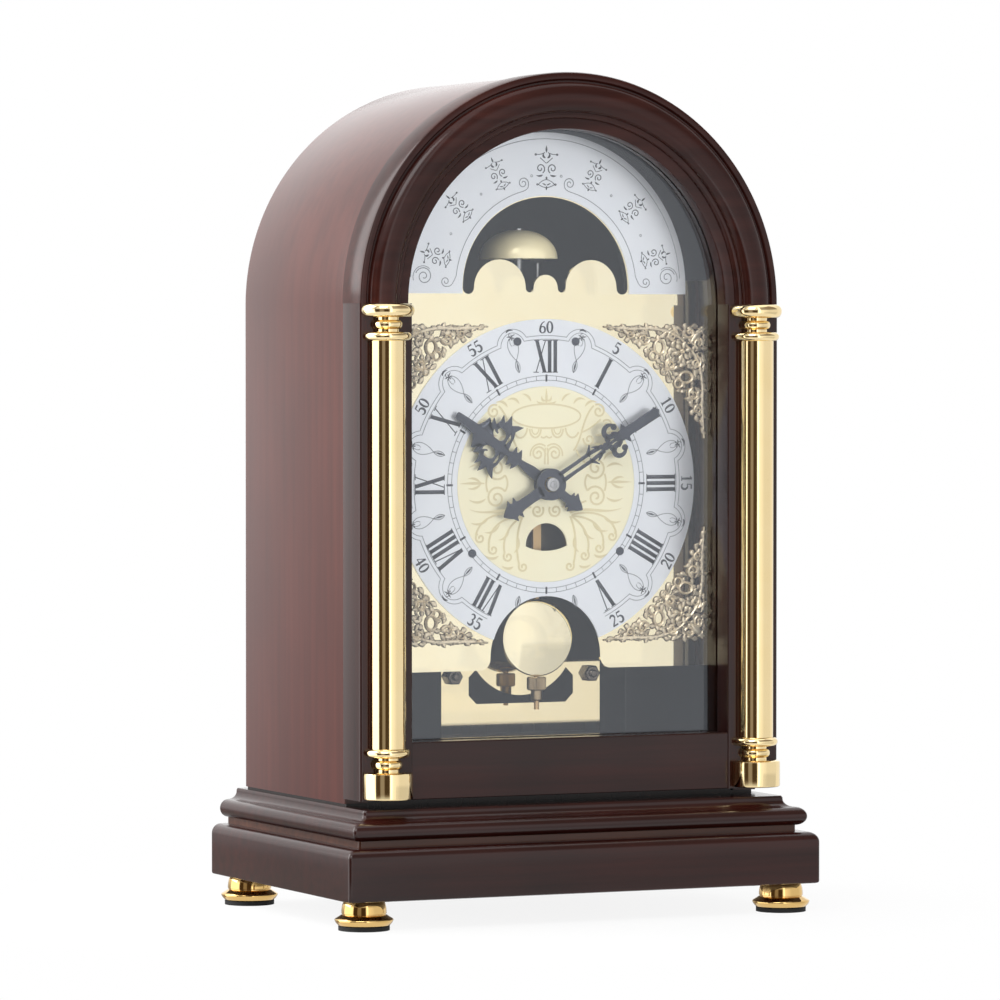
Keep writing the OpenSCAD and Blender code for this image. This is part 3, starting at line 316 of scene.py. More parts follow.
# Rings: cool, even and faintly brushed.
SILVER = metal("silvered_brass", "#e7eaf0", "#f0f2f6", 0.32, 0.05, "x", bare=0.7)
# Screws, arbors and springs: grey with soft lights.
STEEL = metal("bright_steel", "#a9a9ab", "#c6c6c8", 0.25, 0.06)
# Hands: dark grey with a dull sheen.
BLUED = metal("blackened_steel", "#464952", "#575a64", 0.45, 0.08, None, 90.0)
# Bell: pale satin yellow.
BELL = metal("turned_bell_brass", "#fbebb9", "#fff4cc", 0.3, 0.02, bare=0.2)
# Apron nuts: polished metal given a nearly black colour, painted reflection of the dark case round them, with small
# sharp lights.
NUT = metal("dark_polished_nut", "#57504a", "#6b635b", 0.16, 0.04)
# Pendulum rod: warm and dull.
ROD = metal("satin_rod_brass", "#d2ae7c", "#dcbb8a", 0.35, 0.05, bare=0.7)
# Rating nut: brownish and handled.
WORN = metal("worn_knurled_brass", "#9a866a", "#b39f80", 0.3, 0.06)
# Front plate of the movement: brass painted dim, as painted shade for the dark behind the dial.
PLATE_PAINTED_SHADE = metal("plate_brass_painted_shade", "#5c564a", "#6b6455", 0.4, 0.05)
# Engraved lines: matt, a shade darker than the frosted disc from any side.
ETCH = metal("etched_gilt", "#e6d9ab", "#ecdfb4", 0.6, 0.04, bare=0.1)
print("metals ready")

# %% [markdown]
# ### Cast leaves
# The corner castings are bronze that was gilded and has worn: pale and silvery on the high parts, and dark brown in the
# hollows, which is partly the polish and dirt that stay there and partly painted shade. The height above the dial is
# the Y of the object, so it picks the tone.

# %% Cast leaves
CAST, tree, place = finish("cast_gilt")
hollow_y, crest_y = DIAL_FRONT / 1000 - 0.0002, DIAL_FRONT / 1000 - 0.0013
depth_y = add(tree, "SeparateXYZ", {"Vector": place}).outputs["Y"]
high = add(tree, "MapRange", {"Value": depth_y, "From Min": hollow_y, "From Max": crest_y})
grain = add(tree, "TexNoise", {"Vector": place, "Scale": 700.0, "Detail": 3.0})
# Dark brown in the hollows: partly dirt, partly painted shade, picked by the height above the dial.
worn = add(tree, "Math", {0: high, 1: grain}, operation="MULTIPLY")
pale = add(tree, "MapRange", {"Value": worn, "From Min": 0.05, "From Max": 0.42})
bronze = add(tree, "Mix", {"Factor": pale, "A": linear("#4f3a26"), "B": linear("#f4e4c6")}, data_type="RGBA")
casting = add(tree, "BsdfPrincipled", {"Base Color": bronze, "Metallic": 0.6, "Roughness": 0.36})
add(tree, "OutputMaterial", {"Surface": casting})
print("cast bronze ready, pale", round((hollow_y - crest_y) * 1000, 2), "mm above its hollows")

# %% [markdown]
# ### Dial plate
# The plate is mirror polished where it shows. Its margin outside the silvered arch lies in the shadow of the door's
# head, and there a dark grey is painted in as shade, so that no bright sliver shows. The distance from the arch's
# centre picks the tone.

# %% Dial plate
PLATE, tree, place = finish("mirror_gilt_plate")
off = add(tree, "VectorMath", {0: place, 1: (0.0, 0.0, MOON_Z / 1000)}, operation="SUBTRACT")
flat_off = add(tree, "VectorMath", {0: off, 1: (1.0, 0.0, 1.0)}, operation="MULTIPLY")
far = add(tree, "VectorMath", {0: flat_off}, operation="LENGTH")
above = add(tree, "SeparateXYZ", {"Vector": off}).outputs["Z"]
outside = add(tree, "Math", {0: far, 1: 0.0718}, operation="GREATER_THAN")
upper_half = add(tree, "Math", {0: above, 1: 0.004}, operation="GREATER_THAN")
painted_shade_margin = add(tree, "Math", {0: outside, 1: upper_half}, operation="MULTIPLY")
drift = add(tree, "TexNoise", {"Vector": place, "Scale": 60.0, "Detail": 2.0})
gold = add(tree, "Mix", {"Factor": drift, "A": linear(GILT_TONES[0]), "B": linear(GILT_TONES[1])}, data_type="RGBA")
# Painted shade: the margin behind the door's head is coloured dark grey instead of gilt.
gilt = add(tree, "Mix", {"Factor": painted_shade_margin, "A": gold, "B": linear("#45464c")}, data_type="RGBA")
dull = add(tree, "MapRange", {"Value": painted_shade_margin, "To Min": 0.035, "To Max": 0.45})
plate = add(tree, "BsdfPrincipled", {"Base Color": gilt, "Metallic": 1.0, "Roughness": dull})
add(tree, "OutputMaterial", {"Surface": plate})
print("dial plate ready")

# %% [markdown]
# ### Ink, lining and rubber
# The figures are printed, so they lie a few hundredths of a millimetre proud of the ring. Broad strokes look nearly
# black, and hairlines are drawn in a paler grey, because so thin a line never covers fully. The inside of the case is
# lined in a dark blue grey, and the pads are soft black rubber with a fine matt grain.

# %% Ink, lining and rubber
def matt(name, dark, light, rough, patch):
    """A dull surface whose tone changes over patches 1000/patch mm wide."""
    mat, tree, place = finish(name)
    grain = add(tree, "TexNoise", {"Vector": place, "Scale": patch, "Detail": 3.0})
    tone = add(tree, "Mix", {"Factor": grain, "A": linear(dark), "B": linear(light)}, data_type="RGBA")
    bump = add(tree, "Bump", {"Height": grain, "Strength": 0.15, "Distance": 0.0001})
    skin = add(tree, "BsdfPrincipled", {"Base Color": tone, "Normal": bump, "Roughness": rough})
    add(tree, "OutputMaterial", {"Surface": skin})
    return mat


# Figures: flat dark grey.
INK = matt("printed_ink", "#3d4047", "#4b4e56", 0.5, 300.0)
# Hairlines: a soft mid grey.
FINE_INK = matt("printed_fine_ink", "#7d8088", "#8d9097", 0.5, 300.0)
# Pads: black, with no shine.
RUBBER = matt("soft_black_rubber", "#050505", "#0d0d0d", 0.8, 900.0)
# Lining: a dim blue grey that takes little light.
LINING = matt("dark_case_lining", "#20232c", "#2b2f3a", 0.7, 60.0)
print("ink, lining and rubber ready")

# %% [markdown]
# ### Glass
# The pane is clear float glass with a few smears. It shows the room in a cool haze at a low angle, and lets light
# through for shadows, as thin glass does. Its index is a little above that of window glass, for that haze.

# %% Glass
GLASS, tree, place = finish("clear_float_glass")
smear = add(tree, "TexNoise", {"Vector": place, "Scale": 25.0, "Detail": 2.0})
polish = add(tree, "MapRange", {"Value": smear, "To Min": 0.0, "To Max": 0.01})
pane = add(tree, "BsdfPrincipled", {"Base Color": linear("#fdfeff"), "Roughness": polish, "Transmission Weight": 1.0,
                                    "IOR": 1.6, "Specular Tint": (0.88, 0.93, 1.0, 1.0)})
shadow = add(tree, "LightPath").outputs["Is Shadow Ray"]
through = add(tree, "MixShader", {0: shadow, 1: pane, 2: add(tree, "BsdfTransparent")})
add(tree, "OutputMaterial", {"Surface": through})
print("glass ready")

# %% [markdown]
# ## Camera
# The camera stands in front of the clock and to its left, a little above the middle, with a long lens, so upright
# edges stay parallel. Its place was fitted to the edges of the clock in the picture.

# %% Camera
scene = bpy.context.scene
scene.view_settings.view_transform = "Standard"
eye = bpy.data.cameras.new("camera")
eye.lens, eye.sensor_width = 208.31, 36.0
camera = bpy.data.objects.new("camera", eye)
camera.location = (-1.14992, -2.46387, 0.26348)
camera.rotation_euler = np.radians([88.49, 0.0, -24.885])
scene.collection.objects.link(camera)
scene.camera = camera
print("camera at", tuple(round(v, 3) for v in camera.location))

# %% [markdown]
# ## World and lamps
# The light is a white studio: a bright world that is white to the eye and in reflections, a large soft lamp on the left
# and a weaker one in front. A third, small lamp is kept for the bell, which stands in the dark of the case.

# %% World and lamps
# Turns of lamps and wall are counted in degrees from the camera, which stands this far round from +X.
FROM_CAMERA = 114.9
AIM = np.array([0, 0, 0.2])


def lamp(name, azimuth, height, distance, width, tall, power):
    """A soft rectangular lamp aimed at the middle of the clock; the azimuth is counted from the camera to its right."""
    light = bpy.data.lights.new(name, "AREA")
    light.shape, light.size, light.size_y, light.energy = "RECTANGLE", width, tall, power
    obj = bpy.data.objects.new(name, light)
    a, e = np.radians(azimuth - FROM_CAMERA), np.radians(height)
    obj.location = np.array([np.cos(a) * np.cos(e), np.sin(a) * np.cos(e), np.sin(e)]) * distance + AIM
    obj.rotation_euler = (np.pi / 2 - e, 0, a + np.pi / 2)
    scene.collection.objects.link(obj)
    return obj


world = bpy.data.worlds.new("white_studio")
scene.world = world
world.use_nodes = True
sky = world.node_tree
sky.nodes.clear()
ray = add(sky, "LightPath").outputs
seen = add(sky, "Math", {0: ray["Is Camera Ray"], 1: ray["Is Transmission Ray"]}, operation="MAXIMUM")
seen = add(sky, "Math", {0: seen, 1: ray["Is Glossy Ray"]}, operation="MAXIMUM")
level = add(sky, "MapRange", {"Value": seen, "To Min": 0.5, "To Max": 1.0})
upward = add(sky, "SeparateXYZ", {"Vector": add(sky, "TexCoord").outputs["Generated"]}).outputs["Z"]
zenith = add(sky, "MapRange", {"Value": upward, "From Min": 0.45, "From Max": 0.95, "To Min": 1.0, "To Max": 1.5})
total = add(sky, "Math", {0: level, 1: zenith}, operation="MULTIPLY")
glow = add(sky, "Background", {"Color": WHITE, "Strength": total})
add(sky, "OutputWorld", {"Surface": glow})

lamp("left_softbox", -95, 30, 1.6, 1.4, 1.4, 26)
lamp("front_fill", -20, 45, 2.2, 1.0, 1.0, 17)
bell_lamp = lamp("bell_lamp", 45, 6, 1.2, 0.2, 0.2, 6)
bell_lamp.visible_glossy = False

# %% [markdown]
# ## Studio wall
# Polished metal looks like what stands round it. A wall that only reflections see is dark round the camera, as a studio
# is, and bright to both sides: that makes the dark stripe down the middle of each column. Its strips end above and
# below, and its far left is dim near the floor. Rays that went through the glass see an even wall instead, so the dial
# keeps its pale gold from every side.

# %% Studio wall
def staged(name, points, faces, material):
    """A mesh of the studio, which isn't part of the clock."""
    mesh = bpy.data.meshes.new(name)
    mesh.from_pydata(points.reshape(-1, 3).tolist(), [], faces.tolist())
    mesh.materials.append(material)
    obj = bpy.data.objects.new(name, mesh)
    scene.collection.objects.link(obj)
    return obj


WALL_R = 3.2
STRIPS = [(-125, 1.0), (-112, 2.2), (-58, 2.2), (-52, 0.07), (-34, 0.07), (-31, 0.33), (-15, 0.33), (-12, 0.07),
          (9, 0.07), (13, 2.2), (20, 2.2), (23, 1.3), (33, 1.2), (39, 1.14), (47.7, 1.06), (52.7, 0.97), (60, 0.92)]
EVEN = [(0, 1.0), (24, 1.05), (36, 1.14), (39, 1.14), (47.7, 1.06), (52.7, 0.97), (60, 0.92)]
BACK_LEFT, BACK_RIGHT = -114, 36
turn, rise = np.linspace(-200, 110, 156)[:, None], np.linspace(-30, 60, 31)[None, :]
a, h = np.radians(turn - FROM_CAMERA), np.radians(rise)
wall = WALL_R * stack(np.cos(a) * np.cos(h), np.sin(a) * np.cos(h), np.sin(h)) + AIM
low_right = np.where((turn > BACK_RIGHT) & (rise < -8), 0.8, 1.0)
even = np.interp(turn, *np.transpose(EVEN)) * low_right

bright = np.interp(turn, *np.transpose(STRIPS))
inside_strip = np.interp(rise, [-26, -20, 14, 20], [0, 1, 1, 0])
shade = np.where(bright < 0.9, bright * inside_strip + (1 - inside_strip), bright)
left_top = np.interp(rise, [10, 18], [1.0, 0.35])
shade = np.where((turn > BACK_LEFT) & (turn < -50), shade * left_top, shade)
low_side = np.interp(rise, [-30, -9, 0, 15], [0.3, 0.4, 1.0, 1.12])
back_glow = np.interp(turn, [-155, -138], [1.25, 1.0])
shade = np.where(turn < BACK_LEFT, low_side * back_glow, shade) * low_right
right_top = np.interp(rise, [12, 24], [1.0, 0.35])
shade = np.where(turn > 20, shade * right_top, shade)

WALL, tree, _ = finish("studio_wall")
strips, plain = (add(tree, "Attribute", attribute_name=label).outputs["Fac"] for label in ("shade", "even"))
glazed = add(tree, "LightPath").outputs["Transmission Depth"]
behind = add(tree, "Math", {0: glazed, 1: 0.5}, operation="GREATER_THAN")
tone = add(tree, "Mix", {"Factor": behind, "A": strips, "B": plain}, data_type="FLOAT")
warm = add(tree, "MapRange", {"Value": tone, "From Min": 0.05, "From Max": 0.45})
hue = add(tree, "Mix", {"Factor": warm, "A": linear("#ffcf96"), "B": WHITE}, data_type="RGBA")
add(tree, "OutputMaterial", {"Surface": add(tree, "Emission", {"Color": hue, "Strength": tone})})
backdrop = staged("studio_wall", wall, grid_faces(turn.size, rise.size, False, False), WALL)
for label, values in (("shade", shade), ("even", even)):
    backdrop.data.attributes.new(label, "FLOAT", "POINT").data.foreach_set("value", values.ravel())
backdrop.visible_camera = backdrop.visible_diffuse = backdrop.visible_shadow = False
print("studio wall from", shade.min().round(2), "to", shade.max().round(2))

# %% [markdown]
# ## Floor
# The floor is a round sheet of white paper. It fades out from the middle, so it keeps only the soft shadow under the
# base and has no edge against the white background.

# %% Floor
FLOOR, tree, place = finish("white_paper_floor")
reach = add(tree, "VectorMath", {0: place}, operation="LENGTH")
fade = add(tree, "MapRange", {"Value": reach, "From Min": 0.02, "From Max": 0.3, "To Min": 0.88},
           interpolation_type="SMOOTHSTEP")
paper = add(tree, "BsdfPrincipled", {"Base Color": WHITE, "Roughness": 0.9, "Specular IOR Level": 0.0})
sheet = add(tree, "MixShader", {0: fade, 1: paper, 2: add(tree, "BsdfTransparent")})
add(tree, "OutputMaterial", {"Surface": sheet})
spokes, rings = np.radians(np.linspace(0, 360, 48, endpoint=False)), np.linspace(0.0, 0.6, 5)[:, None]
staged("white_paper_floor", stack(rings * np.cos(spokes), rings * np.sin(spokes), 0.0),
       grid_faces(rings.size, spokes.size, False, True), FLOOR)
print("floor of", rings.max() * 2, "m")

# %% [markdown]
# ## Base
# The base is a thick slab with a rounded top edge and, on it, a moulding run along the front and both sides: a
# narrow groove, a half round, a hollow and a small lip. The back is flat. Each level of the profile is a
# rectangle with slightly eased front corners, so the surface is the profile against that outline.

# %% Base slab and moulding
def moulded(profile, z0, ease=1.6):
    """Rows are profile points (inset, height); each row is an outline with a flat back and two eased front corners."""
    inset, height = np.asarray(profile, float).T[..., None]
    half_w, half_d = SLAB_HIGH[:2]
    t = fan(0, 90, 6)
    cx, cy = half_w - inset - ease, -half_d + inset + ease
    back = 0 * inset + half_d
    x = np.concatenate([cx + ease * np.cos(t), -cx - ease * np.sin(t), inset - half_w, half_w - inset], 1)
    y = np.concatenate([cy - ease * np.sin(t), cy - ease * np.cos(t), back, back], 1)
    return shell(stack(x, y, z0 + height))


quarter, half = fan(0, 90, 9), fan(0, 180, 19)
slab_round, slab_top = 4.5, SLAB_HIGH[2] - SLAB_LOW[2]
groove_in, groove_top, bead_r = 8.4, 3.0, 4.2
hollow_foot = groove_top + 2 * bead_r
slab = np.concatenate([[[1, 0], [0.3, 0.3], [0, 1]],
                       stack(slab_round * (1 - np.cos(quarter)), slab_top - slab_round * (1 - np.sin(quarter)))])
groove = [[groove_in, 0], [groove_in, groove_top]]
bead = stack(groove_in - bead_r * np.sin(half), groove_top + bead_r * (1 - np.cos(half)))
hollow = stack(groove_in + 4.3 * np.sin(quarter), hollow_foot + 3.6 * (1 - np.cos(quarter)))
lip = [[12.7, 15.6], [13.2, MOULD_HIGH[2] - MOULD_LOW[2]]]
piece("base_slab_wood", [moulded(slab, SLAB_LOW[2])], "case", WOOD_WIDE, ["base_slab"])
piece("base_moulding_wood",
      [moulded(np.concatenate([bead, hollow, lip]), MOULD_LOW[2]), (*moulded(groove, MOULD_LOW[2]), 1)],
      "case", [WOOD_WIDE, WOOD_GROOVE], ["base_moulding"])

# %% [markdown]
# ## Feet
# Each foot is turned from brass: a domed neck, a sharp waist and a flared rim that sits on a rubber pad. It is a
# profile turned round an upright axis, four times.

# %% Feet
FEET_LOW, FEET_HIGH = box_mm("feet")
rim_r = 13.4
foot_x, foot_y = FEET_HIGH[:2] - rim_r
bulge = np.linspace(0, 1, 9)
foot = np.concatenate([
    [[0, 0], [11.3, 0], [11.7, 0.2]],
    stack(11.7 + 1.7 * np.sin(bulge * np.pi / 2), 0.2 + 2.7 * bulge),
    [[13.2, 3.2], [12.3, 3.75], [11.2, 4.4], [10.5, 4.9], [10.0, 5.1], [10.0, 5.5]],
    stack(10.3 - 1.9 * (1 - np.cos(bulge * np.pi / 2)), 5.7 + 5.9 * np.sin(bulge * np.pi / 2)), [[0, 11.6]]])
piece("turned_feet", [turned(foot, (x * foot_x, y * foot_y, FEET_LOW[2])) for x in (-1, 1) for y in (-1, 1)],
      "case", FOOT, ["feet"], crease=40)

# %% [markdown]
# ## Case
# The case is a bent wooden tunnel, open at both ends. Its section is a plain rectangle with eased edges, carried up
# one side, over the arch and down the other. A pocket in the right wall takes the tongue of the back latch: four
# points of the section and two rows of the sweep are doubled there, and those between them are pushed into the wood.

# %% Case
case_half = SHELL_HIGH[0]
inner_half = case_half - 12
section = softened([[case_half, SHELL_LOW[1]], [case_half, SHELL_HIGH[1]], [inner_half, SHELL_HIGH[1]],
                    [inner_half, SHELL_LOW[1]]], [0.8, 2.0, 1.0, 0.4])
LATCH_LOW, LATCH_HIGH = box_mm("back_latch")
knob = (LATCH_HIGH[0] - LATCH_LOW[0]) / 2
pivot_x, pivot_z = LATCH_LOW[0] + knob, LATCH_LOW[2] + knob
tongue = LATCH_HIGH[2] - pivot_z
pocket_y = LATCH_LOW[1] + 4, LATCH_LOW[1] - 1
pocket_z = pivot_z - 6, pivot_z + tongue + 1
at = np.flatnonzero((section[:-1, 1] > pocket_y[0]) & (section[1:, 1] < pocket_y[1]))[0] + 1
section = np.insert(section, at, [[inner_half, y] for y in np.repeat(pocket_y, 2)], axis=0)
points, faces = arch_sweep(section, SHELL_LOW[2], np.repeat(pocket_z, 2))
points.reshape(-1, len(section), 3)[2:4, at + 1:at + 3, 0] = pivot_x + tongue + 1.5
out_from_axis = np.hypot(points[:, 0], np.maximum(points[:, 2] - SPRING, 0))
lined = [int(out_from_axis[f].max() < inner_half + 0.3) for f in faces]
piece("case_wood", [(points, faces, lined)], "case", [WOOD_CASE_PAINTED_LIGHTER, LINING], ["case_shell"], crease=40)

# %% [markdown]
# ## Back door
# The back door is a flat arched board with eased edges, stained outside and lined inside. It is drawn as four
# outlines one behind the other, of which the first and the last are pulled in a little.

# %% Back door
def arched_board(half, foot, y0, y1, ease=0.8, bend=96):
    """A flat arched board: rows are outlines at growing depth, pulled in by `ease` on both faces; the arch is
    x = r cos t, z = spring line + r sin t."""
    inset, y = np.array([[ease, y0], [0, y0 + ease], [0, y1 - ease], [ease, y1]]).T[..., None]
    t = np.linspace(0, np.pi, bend + 1)
    r, low = half - inset, foot + inset
    x = np.concatenate([r, r * np.cos(t), -r], 1)
    z = np.concatenate([low, SPRING + r * np.sin(t), low], 1)
    return shell(stack(x, y, z))


BACK_LOW, BACK_HIGH = box_mm("back_door")
points, faces = arched_board(BACK_HIGH[0], BACK_LOW[2], BACK_LOW[1], BACK_HIGH[1])
lined = [int(points[f][:, 1].max() < BACK_LOW[1] + 1) for f in faces]
piece("back_door_wood", [(points, faces, lined)], "back_door", [WOOD_CASE_PAINTED_LIGHTER, LINING], ["back_door"], crease=40)

# %% [markdown]
# ## Hinge screws
# Every hinge leaf is held by slotted screws. A head is a low dome turned about its axis, and the slot is a dark strip
# that lies on it: painted shade in place of a cut slot. No two slots point the same way, as a screwdriver leaves them.

# %% Hinge screws
dome = [(0.01, 0.55), (0.9, 0.53), (1.7, 0.42), (2.2, 0.22), (2.4, 0.0), (0.01, 0.0)]
slot_plan = np.array([[-2.0, -0.25], [2.0, -0.25], [2.0, 0.25], [-2.0, 0.25]])
slot_foot, slot_top = 0.2, 0.58
near, next_one = 8, 28
leaves = [("door_hinge_fixed", "case", "x", 0.62), ("door_hinge_moving", "front_door", "x", 0.38),
          ("back_hinge_fixed", "case", "y", 0.36), ("back_hinge_moving", "back_door", "y", 0.6)]
for node, body, facing, share in leaves:
    low, high = box_mm(node)
    side = facing == "x"
    carrier = DOOR_HALF if body == "front_door" else case_half if side else SHELL_HIGH[1]
    face = carrier + (1.2 if side else 0.9)
    wide = 1 if side else 0
    across = low[wide] + share * (high[wide] - low[wide])
    screws = []
    for number, z in enumerate((low[2] + near, low[2] + next_one, high[2] - next_one, high[2] - near)):
        c, s = np.cos(number * 0.9 + 0.3), np.sin(number * 0.9 + 0.3)
        plan = slot_plan @ np.array([[c, s], [-s, c]])
        strip = shell(np.stack([np.insert(plan, 1, out, axis=1) for out in (slot_foot, slot_top)]))
        for pick, (dots, quads) in enumerate((turned(dome, (0, 0, 0), "y", 24), strip)):
            set_in = dots[:, [1, 0, 2]] + [face, across, z] if side else dots + [across, face, z]
            screws.append((set_in, quads, pick))
    # The second finish, blackened steel, is the slot's painted shade.
    piece(f"{node}_screws", screws, body, [BRASS, BLUED], crease=50)

# %% [markdown]
# ## Door head
# The head of the door is a moulding bent into a half circle: a square edge, a fine groove, a bold half round and a
# hollow that runs down to the glass. It is one section of (radius, depth) points, carried round the spring line. A
# hair of overlap with the stiles leaves no gap at the joint.

# %% Door head
depth, rebate, HAIR = DOOR_BACK - DOOR_FRONT, 11, 0.05
roll, dip = fan(0, 180, 25), fan(10, 90, 8)
outer = [DOOR_HALF, 0] + np.array([[0, depth], [0, 1.4], [-0.4, 0.4], [-1.4, 0], [-3.0, 0], [-3.4, 0.3], [-3.9, 1.2],
                                   [-4.7, 1.2]])
inner = [OPENING, 0] + np.array([[0.8, 3.9], [0.2, 4.2], [0, 4.9], [0, rebate], [4, rebate], [4, depth]])
head = np.concatenate([outer, stack(DOOR_HALF - 11.6 + 6.9 * np.cos(roll), 1 - 4.2 * np.sin(roll)),
                       stack(OPENING + 7.5 - 2.7 * np.sin(dip), 1 + 2.2 * (1 - np.cos(dip))), inner])
around = np.linspace(0, np.pi, 129)[:, None]
r, d = head.T
bent = stack(r * np.cos(around), DOOR_FRONT + d, SPRING - HAIR + r * np.sin(around))
piece("door_head_wood", [shell(bent)], "front_door", WOOD_HEAD, ["door_arch"], crease=30)

# %% [markdown]
# ## Door stiles and rail
# The stiles under the head are flat, because the columns stand on them, and so is the rail. All three have a rebate
# at the back for the glass, and eased edges. Each is its section drawn straight along its length.

# %% Door stiles and rail
seat = DOOR_FRONT + rebate
stile = softened([[OPENING, DOOR_FRONT], [DOOR_HALF, DOOR_FRONT], [DOOR_HALF, DOOR_BACK], [OPENING + 4, DOOR_BACK],
                  [OPENING + 4, seat], [OPENING, seat]], [0.9, 1.4, 0.8, 0.3, 0.3, 0.3])
for side, sign in (("right", 1), ("left", -1)):
    piece(f"door_stile_{side}_wood", [drawn_out(stile * [sign, 1], (DOOR_LOW[2], SPRING), [1, 2, 0])], "front_door",
          WOOD_UP, [f"door_stile_{side}"])
RAIL_LOW, RAIL_HIGH = box_mm("door_rail")
rail_front, rail_foot, rail_top = RAIL_LOW[1], RAIL_LOW[2], RAIL_HIGH[2]
rail = softened([[rail_front, rail_foot], [rail_front, rail_top], [seat, rail_top], [seat, rail_top - 4],
                 [DOOR_BACK, rail_top - 4], [DOOR_BACK, rail_foot]], [0.5, 0.8, 0.3, 0.3, 0.4, 0.5])
piece("door_rail_wood", [drawn_out(rail, (-OPENING, OPENING), [0, 1, 2])], "front_door", WOOD_WIDE, ["door_rail"])

# %% [markdown]
# ## Columns
# Each column is turned and then cut flat at the back, where it lies on its stile. Below is a drum with eased
# edges, then a waist, a ring and the plain shaft. The head has a ring, a waist and a larger cushion ring. The turned
# points that would pass behind the stile's face are simply pushed forward onto it.

# %% Columns
COL_LOW, COL_HIGH = box_mm("column_right")
column_x = (COL_LOW[0] + COL_HIGH[0]) / 2
widest, shaft_r = 12.3, 8.35
column_y = COL_LOW[1] + widest


def cushion(radius, z0, z1, tuck=2.2, steps=15):
    """A rounded ring: radius - tuck + tuck * sin a, from z0 to z1 on a half ellipse."""
    a = np.linspace(0, np.pi, steps)
    return stack(radius - tuck + tuck * np.sin(a), z0 + (z1 - z0) * (1 - np.cos(a)) / 2)


def waist(z0, z1, steps=33):
    """A turned neck with a half round bead in its middle: radius + bead * sqrt(1 - offset^2)."""
    s = np.linspace(0, 1, steps)
    return stack(5.4 + 1.5 * np.sqrt(np.clip(1 - ((s - 0.5) / 0.31) ** 2, 0, 1)), z0 + (z1 - z0) * s)


z0, top = COL_LOW[2], COL_HIGH[2]
z1, z2, z3 = z0 + 12.4, z0 + 19.0, z0 + 23.1
z6, z5, z4 = top - 6.3, top - 12.9, top - 17.0
column = np.concatenate([
    [[0, z0], [10.9, z0], [11.4, z0 + 0.3], [11.6, z0 + 0.9], [11.6, z1 - 1.4], [11.4, z1 - 0.5], [10.7, z1 - 0.05],
     [8.0, z1]], waist(z1, z2), cushion(10.5, z2, z3), [[shaft_r, z3 + 0.02], [shaft_r, z4 - 0.02]],
    cushion(11.0, z4, z5), waist(z5, z6), cushion(widest, z6, top, 2.8), [[0, top]]])
for side, sign in (("right", 1), ("left", -1)):
    points, faces = turned(column, (column_x * sign, column_y, 0), steps=72)
    points[:, 1] = np.minimum(points[:, 1], DOOR_FRONT)
    piece(f"column_{side}_brass", [(points, faces)], "front_door", BRASS, [f"column_{side}"], crease=38)

# %% [markdown]
# ## Pendulum bob
# The bob is a polished hollow lens, gently domed at the front so that it mirrors the room, with a thin rim and a
# deeper back. One profile turned about a line to the back gives all of it.

# %% Pendulum bob
BOB_LOW, BOB_HIGH = box_mm("pendulum_bob")
bob_r, bob_z = BOB_HIGH[0], (BOB_LOW[2] + BOB_HIGH[2]) / 2
rim_y = BOB_LOW[1] + 4.2
share, bow = np.linspace(0, 1, 25), fan(0, 90, 25)
front = stack((bob_r - 0.6) * share, BOB_LOW[1] + 1.6 + 1.9 * share ** 2)
edge = [[bob_r - 0.25, rim_y - 0.6], [bob_r, rim_y - 0.2], [bob_r, rim_y + 0.4]]
back = stack((bob_r - 0.4) * np.cos(bow), rim_y + 0.8 + (BOB_HIGH[1] - rim_y - 0.8) * np.sin(bow))
piece("bob_polished", [turned(np.concatenate([front, edge, back]), (0, 0, bob_z), "y", 96)], "pendulum", GILT,
      ["pendulum_bob"], crease=60)

# %% [markdown]
# ## Rating nut
# The nut under the bob is a small knurled drum on a plain stem. The knurling is made by pulling in every second
# line of the turned drum.

# %% Rating nut
NUT_LOW, NUT_HIGH = box_mm("rating_nut")
teeth = 40
drum = [[1.6, 4.8], [3.9, 4.8], [4.5, 5.3], [4.5, 10.5], [3.9, 11.0], [1.6, 11.0]]
points, faces = turned(drum, (0, 0, 0), steps=2 * teeth)
points.reshape(2 * teeth, -1, 3)[::2, 2:4, :2] *= 0.955
nut_at = np.array([0, (NUT_LOW[1] + NUT_HIGH[1]) / 2, NUT_LOW[2]])
stem = turned([[1.6, 0], [2.2, 0], [2.7, 0.6], [2.7, 4.8], [1.6, 4.8]], nut_at)
piece("rating_nut_knurled", [(points + nut_at, faces), stem], "rating_nut", WORN, ["rating_nut"],
      crease=20)

# %% [markdown]
# ## Apron nuts
# Two studs hold the apron plate, each with a nut in front of it and one behind. A nut is a profile turned in only
# six steps, which leaves the six flats and their chamfer.

# %% Apron nuts
STUD_LOW, STUD_HIGH = box_mm("apron_nuts")
stud_x, stud_z = STUD_HIGH[0] - 4.6, (STUD_LOW[2] + STUD_HIGH[2]) / 2
second_nut = 5.6
hexagon = [[0, 2.0], [3.4, 2.0], [4.1, 2.6], [4.1, 6.0], [0, 6.0]]
shank = [[0, 0.4], [1.2, 0.5], [1.9, 1.1], [2.0, 2.2], [2.0, 12.0], [0, 12.0]]
fixings = [turned(form, (x * stud_x, STUD_LOW[1], stud_z), "y", steps)
           for x in (1, -1) for form, steps in ((hexagon, 6), (shank, 24))]
fixings += [turned(hexagon, (x * stud_x, STUD_LOW[1] + second_nut, stud_z), "y", 6) for x in (1, -1)]
piece("apron_nuts_dark", fixings, "case", NUT, ["apron_nuts"], crease=30)

# %% [markdown]
# ## Bell
# The bell is a thin turned cup with its mouth down. Its profile runs up the outside, over the hole for the post and
# back down the inside. The small lamp is tied to the bell alone, so nothing else is lit by it.

